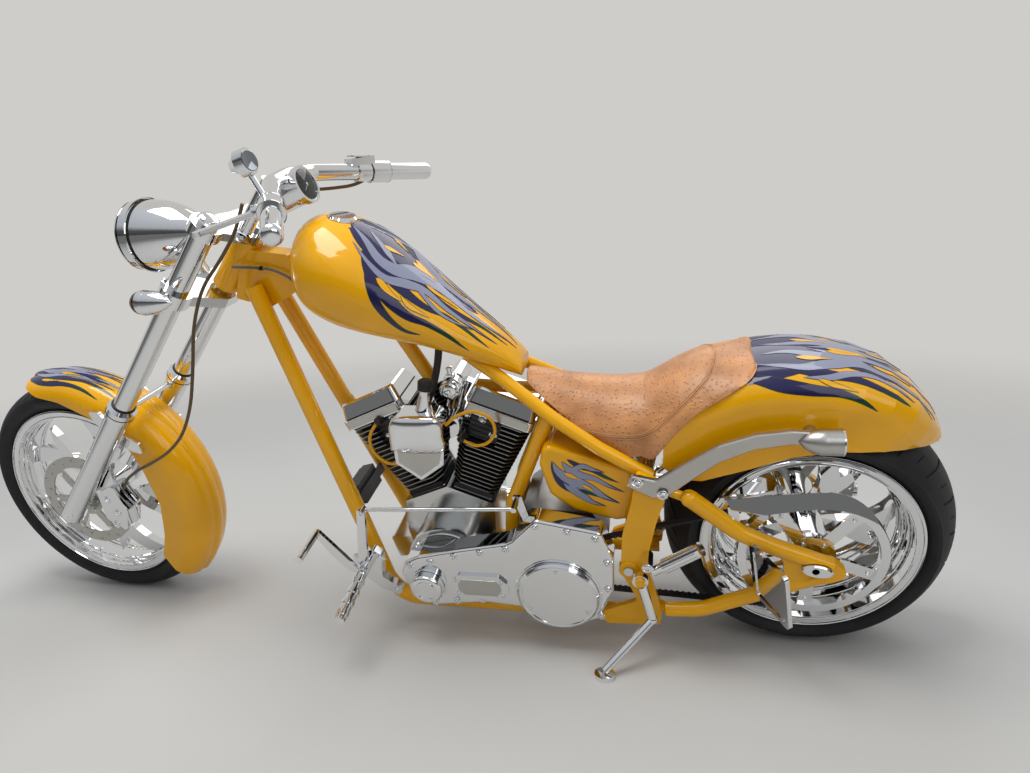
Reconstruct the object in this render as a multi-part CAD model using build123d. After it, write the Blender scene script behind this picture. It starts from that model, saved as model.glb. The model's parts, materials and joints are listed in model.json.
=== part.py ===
# A long-fork chopper motorcycle, leaning on its side stand.
# Millimetres. The machine is drawn upright with its wheels in line: x runs to the rear from the
# rear axle, y to the rider's right and z up from the road. The nose points to -x. The steering is
# then turned a little, and the whole machine is leaned onto its stand.
from build123d import *
import math
import os

# Stance
WHEELBASE = 2003.0
RAKE = 41.5
STEER = 3.7
LEAN = 15.0
LEG_LEAD = 48.0
LEG_HALF_SPREAD = 118.0

# Wheels
FRONT_TYRE_R = 352.0
FRONT_TYRE_HALF = 61.5
FRONT_CROWN = 75.0
FRONT_BED_R = 267.0
FRONT_LIP_R = 283.0
FRONT_RIM_HALF = 51.0
FRONT_HUB_HALF = 74.0
REAR_TYRE_R = 330.0
REAR_TYRE_HALF = 124.0
REAR_CROWN = 160.0
REAR_BED_R = 229.0
REAR_LIP_R = 246.0
REAR_RIM_HALF = 112.0
REAR_HUB_HALF = 126.0
SPOKES = 5
ROTOR_R = 146.0
ROTOR_THICK = 5.0
AXLE_R = 12.5
RUNNING_GAP = 0.05

# Frame
TUBE_R = 21.0
RAIL_R = 16.0
ARM_R = 20.0
PLATE_Y = 160.0
PLATE_THICK = 14.0
ARM_Y = 173.0
BELT_Y = 139.5
PIVOT_X = -412.0
PIVOT_Z = 281.0
PIVOT_R = 8.0
BELT_WIDE = 16.0
PULLEY_R = 158.0
DRIVE_PULLEY_R = 58.0
DRIVE_PULLEY_X = -560.0
DRIVE_PULLEY_Z = 262.0

# Engine
CRANK_X = -875.0
CRANK_Z = 262.0
VEE_HALF = 22.5
DECK = 165.0
FIN_FIRST = 184.0
FIN_LAST = 398.0
FINS = 17
FIN_THICK = 4.0
HEAD_TOP = 405.0
PLUG_OFFSET = 62.0
PLUG_HIGH = 334.0
POST_CAP_R = 17.0
LEAD_R = 4.0
TIP_BORE_R = 21.5

PASSENGER_PEG_R = 17.0

# Side stand
STAND_PIVOT = Vector(-384, -190, 270)
STAND_KNEE = Vector(-356, -218, 175)
STAND_FOOT = Vector(-467, -317, 79)
STAND_PIN_R = 8.0
STAND_HEAD_HALF = 7.0

AXLE_FRONT = Vector(-WHEELBASE, 0, FRONT_TYRE_R)
AXLE_REAR = Vector(0, 0, REAR_TYRE_R)

# Fork frame: local x is square to the legs and points back and down, local z runs up the legs.
RAKE_SIN = math.sin(math.radians(RAKE))
RAKE_COS = math.cos(math.radians(RAKE))
FORK = Plane(AXLE_FRONT, x_dir=(RAKE_COS, 0, -RAKE_SIN), z_dir=(RAKE_SIN, 0, RAKE_COS))


def bar(start, end, radius):
    """Round bar between two points."""
    run = Vector(*end) - Vector(*start)
    return Plane(Vector(*start), z_dir=run) * extrude(Circle(radius), run.length)


def tube(points, radius, bend):
    """Round tube along straight runs joined by arcs."""
    path = FilletPolyline(*points, radius=bend) if len(points) > 2 else Polyline(*points)
    return sweep(Plane(path @ 0, z_dir=path % 0) * Circle(radius), path=path)


def side_face(points, y, corner=0.0):
    """Face in the side view, through (x, z) points, with rounded corners."""
    face = make_face(Polyline(*points, close=True))
    if corner:
        face = fillet(face.vertices(), corner)
    return Plane((0, y, 0), x_dir=(1, 0, 0), z_dir=(0, -1, 0)) * face


def side_slab(points, y_low, y_high, corner=0.0):
    """Slab between two y planes with a side-view outline."""
    return extrude(side_face(points, y_high, corner), y_high - y_low)


def ring_solid(profile):
    """Solid turned about the y axis from a closed line of (radius, y) points."""
    return revolve(make_face(Polyline(*profile, close=True)), Axis.Y)


def lathe(edges):
    """Solid turned about the z axis from a closed outline of (radius, height)."""
    return revolve(Plane.XZ * make_face(edges), Axis.Z)


def drum(radius, y_low, y_high, x=0.0, z=0.0):
    """Cylinder along y."""
    plane = Plane((x, y_high, z), x_dir=(1, 0, 0), z_dir=(0, -1, 0))
    return plane * extrude(Circle(radius), y_high - y_low)


def other_side(shape):
    """Mirror image on the other side of the machine."""
    return mirror(shape, about=Plane.XZ)


def pair(shape):
    """The shape and its mirror image, as two solids."""
    return Compound(children=[shape.solid(), other_side(shape).solid()])


def tyre(outer, half, crown, bed, lip, rim_half):
    """Tyre: bead, bulging sidewalls and round tread."""
    shoulder_y = half * 0.94
    shoulder_r = outer - crown + math.sqrt(crown ** 2 - shoulder_y ** 2)
    bead_y = rim_half - 8.0
    neck = (lip + 1.5, rim_half - 7.0)
    belly = ((lip + shoulder_r) / 2 + 3.0, half)
    outline = [
        Line((bed, -bead_y), (bed, bead_y)),
        Line((bed, bead_y), neck),
        ThreePointArc(neck, belly, (shoulder_r, shoulder_y)),
        ThreePointArc((shoulder_r, shoulder_y), (outer, 0), (shoulder_r, -shoulder_y)),
        ThreePointArc((shoulder_r, -shoulder_y), (belly[0], -belly[1]), (neck[0], -neck[1])),
        Line((neck[0], -neck[1]), (bed, -bead_y)),
    ]
    return revolve(make_face(outline), Axis.Y)


def wheel(bed, lip, rim_half, well, hub_r, hub_half, spoke_half, blade):
    """Dished rim, curved blade spokes with a thorn each, and a hub bored for its axle."""
    half = [(lip, rim_half), (lip, rim_half - 6), (bed, rim_half - 7)]
    step = (bed - 7 - well) / 3
    inner = [
        (bed - 7, rim_half - 3), (bed - 8, rim_half * 0.76), (bed - 7 - step, rim_half * 0.70),
        (bed - 8 - step, rim_half * 0.50), (bed - 7 - 2 * step, rim_half * 0.44),
        (bed - 8 - 2 * step, rim_half * 0.27),
        (well, rim_half * 0.22),
    ]
    profile = inner[::-1] + [(lip - 8, rim_half)] + half
    profile += [(r, -y) for r, y in half[::-1]] + [(lip - 8, -rim_half)]
    profile += [(r, -y) for r, y in inner]
    rim = ring_solid(profile)
    hub = drum(hub_r, -hub_half, hub_half)
    reach = well + 4
    sweep_in, sweep_out, thorn = blade
    between = (sweep_in + thorn) / 2
    star = Circle(hub_r * 0.9)
    for k in range(SPOKES):
        edges = [
            ThreePointArc((hub_r * 0.7, -15), (reach * 0.55, sweep_in), (reach, reach * 0.16)),
            Line((reach, reach * 0.16), (reach * 0.95, reach * 0.34)),
            ThreePointArc((reach * 0.95, reach * 0.34), (reach * 0.5, sweep_out), (hub_r * 0.7, 15)),
            Line((hub_r * 0.7, 15), (hub_r * 0.7, -15)),
        ]
        spike = [
            ThreePointArc((reach * 0.40, sweep_in + 6), (reach * 0.64, between - 6), (reach * 0.84, thorn)),
            ThreePointArc((reach * 0.84, thorn), (reach * 0.74, between + 14),
                          (reach * 0.64, sweep_in + 14)),
            Line((reach * 0.64, sweep_in + 14), (reach * 0.40, sweep_in + 6)),
        ]
        turn = Rot(0, 0, 360.0 / SPOKES * k)
        star = star + turn * make_face(edges) + turn * make_face(spike)
    spokes = extrude(Plane.XZ * star, spoke_half, both=True)
    solid = rim + spokes + hub
    return solid - drum(AXLE_R + RUNNING_GAP, -hub_half, hub_half)


def rotor(y):
    """Drilled brake disc on a six-armed carrier, its middle plane at y."""
    disc = drum(ROTOR_R, y - ROTOR_THICK / 2, y + ROTOR_THICK / 2)
    disc -= drum(ROTOR_R - 34, y - ROTOR_THICK, y + ROTOR_THICK)
    for k in range(6):
        arm = Rot(0, 60 * k, 0) * Pos(ROTOR_R * 0.5, y, 0) * Box(ROTOR_R - 40, ROTOR_THICK, 22)
        disc += arm
    disc += drum(48, y - ROTOR_THICK / 2, y + ROTOR_THICK / 2)
    disc -= drum(AXLE_R + 8, y - ROTOR_THICK, y + ROTOR_THICK)
    holes = [Rot(0, 15 * k, 0) * drum(4, y - 5, y + 5, ROTOR_R - 10 - 13 * (k % 2)) for k in range(24)]
    for hole in holes:
        disc -= hole
    return disc


def at_wheel(shape, axle):
    """Place a wheel part, drawn about the origin, on its axle."""
    return Pos(axle.X, axle.Y, axle.Z) * shape


def front_wheel_parts():
    tyre_solid = tyre(FRONT_TYRE_R, FRONT_TYRE_HALF, FRONT_CROWN, FRONT_BED_R, FRONT_LIP_R, FRONT_RIM_HALF)
    rim = wheel(FRONT_BED_R, FRONT_LIP_R, FRONT_RIM_HALF, 252, 38, FRONT_HUB_HALF, 11, (-42, 6, -92))
    disc = rotor(-FRONT_HUB_HALF - ROTOR_THICK / 2)
    return {
        "front_tyre": at_wheel(tyre_solid, AXLE_FRONT),
        "front_wheel": at_wheel(rim, AXLE_FRONT),
        "front_rotor": at_wheel(disc, AXLE_FRONT),
    }


def rear_wheel_parts():
    tyre_solid = tyre(REAR_TYRE_R, REAR_TYRE_HALF, REAR_CROWN, REAR_BED_R, REAR_LIP_R, REAR_RIM_HALF)
    rim = wheel(REAR_BED_R, REAR_LIP_R, REAR_RIM_HALF, 206, 46, REAR_HUB_HALF, 16, (-36, 4, -70))
    pulley = ring_solid([
        (PULLEY_R, BELT_Y - 9), (PULLEY_R, BELT_Y + 9), (PULLEY_R + 5, BELT_Y + 9),
        (PULLEY_R + 5, BELT_Y + 11),
        (PULLEY_R - 14, BELT_Y + 11), (PULLEY_R - 14, BELT_Y - 11), (PULLEY_R + 5, BELT_Y - 11),
        (PULLEY_R + 5, BELT_Y - 9),
    ])
    pulley = other_side(pulley)
    for k in range(5):
        pulley += Rot(0, 72 * k + 20, 0) * Pos(PULLEY_R * 0.52, -BELT_Y, 0) * Box(PULLEY_R * 0.84, 8, 30)
    pulley += drum(52, -BELT_Y - 6, -REAR_HUB_HALF)
    pulley -= drum(AXLE_R + RUNNING_GAP, -BELT_Y - 20, -100)
    disc = rotor(REAR_HUB_HALF + ROTOR_THICK / 2)
    return {
        "rear_tyre": at_wheel(tyre_solid, AXLE_REAR),
        "rear_wheel": at_wheel(rim, AXLE_REAR),
        "rear_pulley": at_wheel(pulley, AXLE_REAR),
        "rear_rotor": at_wheel(disc, AXLE_REAR),
    }


# Frame

NECK_LOW = 880.0
NECK_HIGH = 1030.0
BACKBONE = [(-1300, 0, 1030), (-1120, 0, 985), (-772, 0, 812)]
STRUT = [(-985, 0, 905), (-893, 0, 716)]
DOWNTUBE = [(-1283, -42, 985), (-1049, -130, 115), (-345, -132, 115)]
SEAT_RAIL = [(-772, -36, 790), (-690, -66, 742), (-575, -106, 664), (-470, -131, 600), (-356, -136, 532)]
SEAT_POST = [(-590, -80, 660), (-704, -76, 400), (-728, -100, 150)]


def backbone_tubes(extra=0.0):
    """Backbone, its strut to the engine and the cross tube at its rear end."""
    spine = tube(BACKBONE, 22 + extra, 120)
    strut = bar(STRUT[0], STRUT[1], 18 + extra)
    cross = bar((-772, -52, 800), (-772, 52, 800), 17 + extra)
    return spine + strut + cross


def frame_backbone():
    head_tube = FORK * Pos(LEG_LEAD, 0, NECK_LOW) * extrude(Circle(32), NECK_HIGH - NECK_LOW)
    gusset = side_slab([(-1300, 1072), (-1185, 1052), (-1172, 968), (-1262, 925), (-1352, 950)], -24, 24, 8)
    frame = head_tube + gusset + backbone_tubes()
    bore = FORK * Pos(LEG_LEAD, 0, NECK_LOW - 5) * extrude(Circle(15), NECK_HIGH - NECK_LOW + 10)
    return frame - bore


def frame_downtubes(backbone):
    down = tube(DOWNTUBE, TUBE_R, 95)
    return pair(down - backbone)


def seat_rails(backbone):
    rail = tube(SEAT_RAIL, RAIL_R, 60)
    post = tube(SEAT_POST, 18, 60)
    return pair(rail + post - backbone)


def side_plates():
    outline = [
        (-388, 560), (-402, 470), (-425, 380), (-430, 300), (-428, 262), (-408, 222), (-394, 182),
        (-477, 142), (-488, 119), (-467, 101), (-339, 108), (-334, 150), (-348, 210), (-365, 280),
        (-362, 345), (-346, 420), (-322, 500), (-318, 530),
    ]
    plate = side_slab(outline, -PLATE_Y - PLATE_THICK / 2, -PLATE_Y + PLATE_THICK / 2, 9)
    boss = drum(24, -PLATE_Y - 11, -PLATE_Y + PLATE_THICK / 2, PIVOT_X, PIVOT_Z)
    left = plate + boss - drum(PIVOT_R + RUNNING_GAP, -PLATE_Y - 12, -PLATE_Y + 12, PIVOT_X, PIVOT_Z)
    outside = STAND_PIVOT.Y - STAND_HEAD_HALF - 0.4
    stand_pin = drum(STAND_PIN_R, outside, -PLATE_Y, STAND_PIVOT.X, STAND_PIVOT.Z)
    stand_pin += drum(12, outside - 6, outside, STAND_PIVOT.X, STAND_PIVOT.Z)
    return Compound(children=[(left + stand_pin).solid(), other_side(left).solid()])


def axle_cover(y_low, y_high, extra=0.0):
    """Oval plate that covers an end of the rear axle."""
    plane = Plane((4, y_high, REAR_TYRE_R - 2), x_dir=(1, 0, -0.16), z_dir=(0, -1, 0))
    return extrude(plane * Ellipse(34 + extra, 17 + extra), y_high - y_low)


def swingarm(plates):
    """Rear triangle of each side: upper and lower tube, web, and a link round the belt to the pivot."""
    y = -ARM_Y
    upper = tube([(-270, y, 499), (-165, y, 412), (-85, y, 374), (36, y, 328)], ARM_R, 150)
    upper += Pos(-272, y, 500) * Sphere(ARM_R)
    lower = tube([(-326, y, 168), (-243, y, 174), (20, y, 300)], ARM_R * 0.9, 120)
    web = side_slab([(-70, 372), (-20, 360), (40, 346), (67, 322), (66, 302), (26, 284), (-39, 262),
                     (-62, 300)],
                    y - 12, y + 12, 9)
    inboard = -118
    front = tube([(-270, y, 498), (-345, -132, 500), (-366, inboard, 440), (-372, inboard, 300),
                  (-370, inboard, 180), (-352, -128, 160), (-322, y, 166)], 11, 16)
    lug = side_slab([(-432, 296), (-420, 262), (-396, 260), (-358, 288), (-358, 328), (-400, 310)],
                    -152, -141, 6)
    block = side_slab([(-386, 292), (-358, 292), (-358, 326), (-386, 316)], -150, inboard)
    side = upper + lower + web + front + lug + block
    side = side - drum(AXLE_R + RUNNING_GAP, y - 30, y + 30, 0, REAR_TYRE_R)
    side = side - axle_cover(-ARM_Y - 30, -ARM_Y - 12, 2) - drum(24, y + 12, y + 30, 0, REAR_TYRE_R)
    side = side - drum(PIVOT_R + RUNNING_GAP, -190, -120, PIVOT_X, PIVOT_Z)
    return pair(max((side - plates).solids(), key=lambda s: s.volume))


def swingarm_pivot():
    """Cross tube and through pin of the rear arm."""
    tube_part = drum(19, -140.9, 140.9, PIVOT_X, PIVOT_Z)
    pin = drum(PIVOT_R, -172, 172, PIVOT_X, PIVOT_Z)
    heads = drum(12, -177, -171.2, PIVOT_X, PIVOT_Z) + drum(12, 171.2, 177, PIVOT_X, PIVOT_Z)
    return tube_part + pin + heads


def rear_axle():
    """Hollow axle with an oval cover outside each arm."""
    cover = axle_cover(-ARM_Y - 26, -ARM_Y - 12.2)
    cover = chamfer(cover.faces().sort_by(Axis.Y)[0].edges(), 3)
    shaft = drum(AXLE_R, -ARM_Y - 14, ARM_Y + 14, 0, REAR_TYRE_R)
    return cover + other_side(cover) + shaft - drum(8, -ARM_Y - 40, ARM_Y + 40, 0, REAR_TYRE_R)


# Tank sections: x, lowest z, highest z, half width at the middle, half width at the bottom
TANK_SECTIONS = [
    (-1150, 962, 1088, 78, 50),
    (-1105, 928, 1132, 142, 96),
    (-1010, 896, 1116, 158, 118),
    (-880, 852, 1010, 136, 98),
    (-760, 796, 890, 94, 66),
    (-652, 742, 776, 52, 40),
]


def tank_section(x, low, high, middle, bottom):
    """Egg-shaped section: flat floor, round sides and a domed top."""
    waist = low + (high - low) * 0.42
    cheek = low + (high - low) * 0.80
    edges = [
        Line((-bottom, low), (bottom, low)),
        ThreePointArc((bottom, low), (middle * 0.92, low + (waist - low) * 0.42), (middle, waist)),
        ThreePointArc((middle, waist), (middle * 0.93, low + (high - low) * 0.64), (middle * 0.74, cheek)),
        ThreePointArc((middle * 0.74, cheek), (0, high), (-middle * 0.74, cheek)),
        ThreePointArc((-middle * 0.74, cheek), (-middle * 0.93, low + (high - low) * 0.64),
                      (-middle, waist)),
        ThreePointArc((-middle, waist), (-middle * 0.92, low + (waist - low) * 0.42), (-bottom, low)),
    ]
    return Plane((x, 0, 0), x_dir=(0, 1, 0), z_dir=(1, 0, 0)) * make_face(edges)


CAP_POINT = (-1040, 0, 1118)
CAP_TILT = 12.0


def tank(rails):
    body = loft([tank_section(*row) for row in TANK_SECTIONS])
    tunnel = backbone_tubes(5.0)
    slot = side_slab([(-1180, 1000), (-1110, 988), (-760, 815), (-760, 700), (-1180, 850)], -24, 24)
    body = body - tunnel - slot - rails
    return body - tank_cap(1.0)


def tank_cap(extra=0.0):
    """Low domed filler cap let into the top of the tank."""
    seat = Pos(*CAP_POINT) * Rot(0, CAP_TILT, 0)
    cap = Pos(0, 0, -14 - extra) * Cylinder(34 + extra, 28 + extra,
                                            align=(Align.CENTER, Align.CENTER, Align.MIN))
    if extra:
        return seat * (cap + Pos(0, 0, 13) * Cylinder(34 + extra, 60))
    cap = chamfer(cap.faces().sort_by(Axis.Z)[-1].edges(), 5)
    return seat * cap


def oil_tank():
    outline = [(-604, 604), (-616, 545), (-596, 462), (-540, 418), (-440, 392), (-402, 400), (-388, 470),
               (-400, 538)]
    body = side_slab(outline, -126, 126, 22)
    body = fillet(body.faces().sort_by(Axis.Y)[0].edges() + body.faces().sort_by(Axis.Y)[-1].edges(), 12)
    for side in (-1, 1):
        body -= tube([(x, -side * y, z) for x, y, z in SEAT_RAIL], RAIL_R + 2, 60)
        body -= tube([(x, -side * y, z) for x, y, z in SEAT_POST], 20, 60)
    return body


# Rear fender: circle of its crown in the side view
FENDER_X = -60.0
FENDER_Z = 350.0
FENDER_R = 428.0
FENDER_HALF = 140.0
FENDER_SKIN = 4.0
FENDER_SHOULDER = 62.0


def fender_shell(radius, half, shoulder, skin, depth):
    """Ring with a rounded channel section: crown, round shoulders and two skirts."""
    def channel(r, h, s):
        return [
            (r - depth, -h), (r - s, -h), (r - s * 0.29, -h + s * 0.29), (r, -h + s),
            (r, h - s), (r - s * 0.29, h - s * 0.29), (r - s, h), (r - depth, h),
        ]
    def face(r, h, s):
        p = channel(r, h, s)
        edges = [
            Line(p[0], p[1]), ThreePointArc(p[1], p[2], p[3]), ThreePointArc(p[3], (r + s * 0.12, 0), p[4]),
            ThreePointArc(p[4], p[5], p[6]), Line(p[6], p[7]), Line(p[7], p[0]),
        ]
        return make_face(edges)
    outer = revolve(face(radius, half, shoulder), Axis.Y)
    inner = revolve(face(radius - skin, half - skin, shoulder - skin), Axis.Y)
    core = drum(radius - depth + 1, -half, half)
    return outer - inner - core


# Sections of the rear fender's tail: angle about the crown's circle from the rear, crown radius, half width
REAR_FENDER_TAIL = [
    (80, FENDER_R, FENDER_HALF), (71, 431, 140), (62, 431, 137), (54, 427, 128), (47, 419, 110),
    (41, 410, 84),
    (37, 403, 60),
]


def rear_fender_section(angle, crown, half):
    """Thin channel across the fender, in a plane through the axis of its crown's circle."""
    a = math.radians(angle)
    plane = Plane((FENDER_X, 0, FENDER_Z), x_dir=(math.cos(a), 0, math.sin(a)),
                  z_dir=(-math.sin(a), 0, math.cos(a)))
    low = crown - 215
    lines = []
    ends = []
    for skin in (0.0, FENDER_SKIN):
        r = crown - skin
        h = half - skin
        s = min(FENDER_SHOULDER, 0.6 * half) - skin
        lines += [
            Line((low, -h), (r - s, -h)), ThreePointArc((r - s, -h), (r - s * 0.29, -h + s * 0.29),
                                                        (r, -h + s)),
            ThreePointArc((r, -h + s), (r + s * 0.12, 0), (r, h - s)),
            ThreePointArc((r, h - s), (r - s * 0.29, h - s * 0.29), (r - s, h)), Line((r - s, h), (low, h)),
        ]
        ends.append(h)
    lines += [Line((low, -ends[0]), (low, -ends[1])), Line((low, ends[0]), (low, ends[1]))]
    return plane * make_face(lines)


def rear_fender():
    """Round over the wheel, then narrowing to a tail, and cut to its side view."""
    centre = Axis((FENDER_X, 0, FENDER_Z), (0, -1, 0))
    main = revolve(rear_fender_section(*REAR_FENDER_TAIL[0]), centre, 96)
    tail = loft([rear_fender_section(*row) for row in REAR_FENDER_TAIL], ruled=True)
    window = side_slab([
        (-322, 800), (-330, 560), (-300, 528), (-245, 524), (-150, 556), (-60, 590), (35, 606), (110, 602),
        (180, 594), (250, 584), (285, 600), (330, 660), (330, 800),
    ], -160, 160, 18)
    return ((main & window) + (tail & window)).solid()


def fender_struts():
    """Curved arm of each side, bolted to the side plate and ending in a lamp."""
    top = [(-400, 560), (-345, 548), (-290, 588), (-215, 640), (-140, 668), (-70, 678), (-5, 674)]
    low = [(-5, 645), (-70, 646), (-140, 633), (-210, 600), (-270, 550), (-322, 504), (-352, 502),
           (-408, 530)]
    arm = side_slab(top + low, -PLATE_Y - PLATE_THICK / 2 - 13, -PLATE_Y - PLATE_THICK / 2 - 1, 8)
    arm = chamfer(arm.faces().sort_by(Axis.Y)[0].edges(), 2.5)
    inner = drum(12, -PLATE_Y - PLATE_THICK / 2 - 2, -FENDER_HALF - 1, -30, 660)
    bolt_front = drum(9, -PLATE_Y - PLATE_THICK / 2 - 19, -PLATE_Y - PLATE_THICK / 2 - 12, -384, 545)
    bolt_rear = drum(9, -PLATE_Y - PLATE_THICK / 2 - 19, -PLATE_Y - PLATE_THICK / 2 - 12, -330, 516)
    lamp = Plane((-58, -PLATE_Y - 20, 655), z_dir=(1, 0, 0)) * lathe([
        ThreePointArc((0, 0), (21, 22), (28, 55)), Line((28, 55), (28, 84)), Line((28, 84), (0, 84)),
        Line((0, 84), (0, 0)),
    ])
    return pair(arm + bolt_front + bolt_rear + lamp + inner)


# Seat sections: x, lowest z, z of the side ridge, z of the top's middle, half width, the same at the bottom
SEAT_SECTIONS = [
    (-648, 742, 778, 790, 50, 42),
    (-590, 684, 779, 784, 84, 66),
    (-520, 626, 777, 764, 110, 88),
    (-440, 574, 781, 752, 130, 112),
    (-360, 562, 793, 760, 138, 124),
    (-300, 590, 818, 792, 134, 116),
    (-230, 660, 822, 827, 100, 90),
    (-170, 710, 796, 808, 72, 66),
    (-128, 740, 768, 776, 40, 36),
]


def seat():
    """Solo seat with a hollow for the rider and a raised tail."""
    sections = []
    for x, low, ridge, dip, half, foot in SEAT_SECTIONS:
        roll = min(17.0, 0.4 * (ridge - low))
        belly = ridge - roll
        sections.append(Plane((x, 0, 0), x_dir=(0, 1, 0), z_dir=(1, 0, 0)) * make_face([
            Line((-foot, low), (foot, low)),
            ThreePointArc((foot, low), ((foot + half) / 2 + 4, (low + belly) / 2), (half, belly)),
            ThreePointArc((half, belly), (half - roll * 0.29, ridge - roll * 0.29), (half - roll, ridge)),
            ThreePointArc((half - roll, ridge), (0, dip), (-half + roll, ridge)),
            ThreePointArc((-half + roll, ridge), (-half + roll * 0.29, ridge - roll * 0.29),
                          (-half, belly)),
            ThreePointArc((-half, belly), (-(foot + half) / 2 - 4, (low + belly) / 2), (-foot, low)),
        ]))
    body = loft(sections)
    body -= Pos(FENDER_X, 0, FENDER_Z) * revolve(fender_core(), Axis.Y)
    for flip in (-1, 1):
        body -= tube([(x, flip * y, z) for x, y, z in SEAT_RAIL], RAIL_R + 2, 60)
    return max(body.solids(), key=lambda s: s.volume)


def fender_core():
    """Section that the seat is hollowed by, just outside the fender."""
    r = FENDER_R + 2.5
    h = FENDER_HALF + 2.5
    s = FENDER_SHOULDER + 2.5
    return make_face([
        Line((0, -h), (r - s, -h)), ThreePointArc((r - s, -h), (r - s * 0.29, -h + s * 0.29), (r, -h + s)),
        ThreePointArc((r, -h + s), (r + s * 0.12, 0), (r, h - s)),
        ThreePointArc((r, h - s), (r - s * 0.29, h - s * 0.29), (r - s, h)), Line((r - s, h), (0, h)),
        Line((0, h), (0, -h)),
    ])


# Engine

def engine_plane(side):
    """Frame of one cylinder: local z runs up the bore, local x is square to it in the side view."""
    angle = math.radians(VEE_HALF) * side
    return Plane((CRANK_X, 0, CRANK_Z), x_dir=(math.cos(angle), 0, -math.sin(angle)),
                 z_dir=(math.sin(angle), 0, math.cos(angle)))


def crankcase():
    outline = [
        (-996, 390), (CRANK_X, 440), (-754, 390), (-760, 300), (-768, 190), (-825, 152), (-930, 150),
        (-990, 196),
        (-1004, 300),
    ]
    case = side_slab(outline, -72, 72)
    case += drum(104, -152, -72, CRANK_X, CRANK_Z)
    for side in (-1, 1):
        base = extrude(fillet(Rectangle(118, 118).vertices(), 14), DECK - 110)
        case += engine_plane(side) * Pos(0, 0, 110) * base
    mount = side_slab([(-1066, 262), (-1000, 262), (-990, 205), (-1052, 190)], -60, 60, 8)
    return case + mount


def cylinder(side):
    plane = engine_plane(side)
    stack = Pos(0, 0, DECK) * extrude(Rectangle(104, 104), 10)
    stack += Pos(0, 0, DECK) * extrude(Circle(47), HEAD_TOP - DECK)
    stack += Pos(0, 0, 330) * extrude(Rectangle(122, 112), HEAD_TOP - 330)
    for k in range(FINS):
        share = k / (FINS - 1)
        high = FIN_FIRST + (FIN_LAST - FIN_FIRST) * share
        wide = 2 * (62 + 25 * share)
        deep = 2 * (62 + 13 * share)
        fin = extrude(chamfer(Rectangle(wide, deep).vertices(), 22), FIN_THICK)
        stack += Pos(0, 0, high) * fin
    stack -= Pos(-side * 36, -80, 362) * Box(104, 44, 86)
    stack += Pos(-side * PLUG_OFFSET, -58, PLUG_HIGH) * (Rot(90, 0, 0) * Cylinder(8, 24))
    return plane * stack


def rocker_box(side):
    plane = engine_plane(side)
    base = Pos(0, 0, HEAD_TOP) * extrude(fillet(Rectangle(180, 152).vertices(), 16), 26)
    base += Pos(-side * 20, 88, HEAD_TOP) * extrude(Rectangle(72, 44), 20)
    lid = loft([
        Plane((0, 0, HEAD_TOP + 26)) * fillet(Rectangle(172, 140).vertices(), 14),
        Plane((0, 0, HEAD_TOP + 64)) * fillet(Rectangle(160, 108).vertices(), 14),
    ])
    lid = chamfer(lid.faces().sort_by(Axis.Z)[-1].edges(), 4)
    if side > 0:
        lid -= Pos(0, 0, HEAD_TOP + 52) * Cylinder(19, 30)
    return plane * (base + lid)


def plug_leads(coil, heads):
    """Lead of each cylinder, from its plug round to the coil cover."""
    front = [(-1020, -82, 640), (-1046, -96, 604), (-1044, -100, 560), (-1008, -104, 526),
             (-946, -106, 534)]
    rear = [
        (-812, -84, 592), (-776, -96, 578), (-738, -100, 590), (-716, -100, 622), (-722, -102, 660),
        (-756, -106, 684),
        (-800, -110, 676), (-842, -112, 640),
    ]
    leads = []
    for route in (front, rear):
        lead = hose(route, LEAD_R) + Pos(*route[0]) * Sphere(LEAD_R * 1.6)
        leads.append(max((lead - coil - heads[0] - heads[1]).solids(), key=lambda s: s.volume))
    return Compound(children=leads)


def coil_cover():
    """Shield-shaped cover between the cylinders on the left."""
    shield = side_slab([(-968, 600), (-840, 600), (-848, 548), (-912, 502), (-970, 550)], -134, -86, 6)
    dome = side_slab([(-972, 590), (-965, 664), (-945, 686), (-846, 686), (-831, 662), (-838, 590)], -146,
                     -86, 8)
    dome = fillet(dome.faces().sort_by(Axis.Y)[0].edges(), 7)
    stay = Pos(-900, -60, 664) * Box(34, 56, 22)
    post = [(0, -14), (21, -14), (21, 4), (12, 50), (12, 66), (POST_CAP_R, 66), (POST_CAP_R, 84), (0, 86)]
    knob = Plane((-887, -104, 676), z_dir=(19, 0, 89)) * lathe(Polyline(*post, close=True).edges())
    return shield + dome + stay + knob


def air_cleaner():
    dish = drum(92, 128, 168, -880, 560)
    dish = fillet(dish.faces().sort_by(Axis.Y)[-1].edges(), 16)
    intake = bar((-880, 20, 560), (-880, 130, 560), 30)
    body = drum(24, -60, 62, -830, 712) + bar((-830, 50, 712), (-880, 96, 590), 20)
    return dish + intake + body


def cam_cover():
    """Timing cover on the right, with four pushrod tubes up to the heads."""
    cover = side_slab([(-975, 300), (-930, 350), (-820, 350), (-775, 300), (-790, 230), (-875, 180),
                       (-960, 230)],
                      72, 108, 26)
    shape = cover + drum(46, 108, 120, CRANK_X, CRANK_Z)
    for side in (-1, 1):
        plane = engine_plane(side)
        for foot, top in ((26, 36), (-4, 4)):
            shape += plane * bar((-side * foot, 92, 70), (-side * top, 94, HEAD_TOP - 0.5), 10)
    return shape


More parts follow.
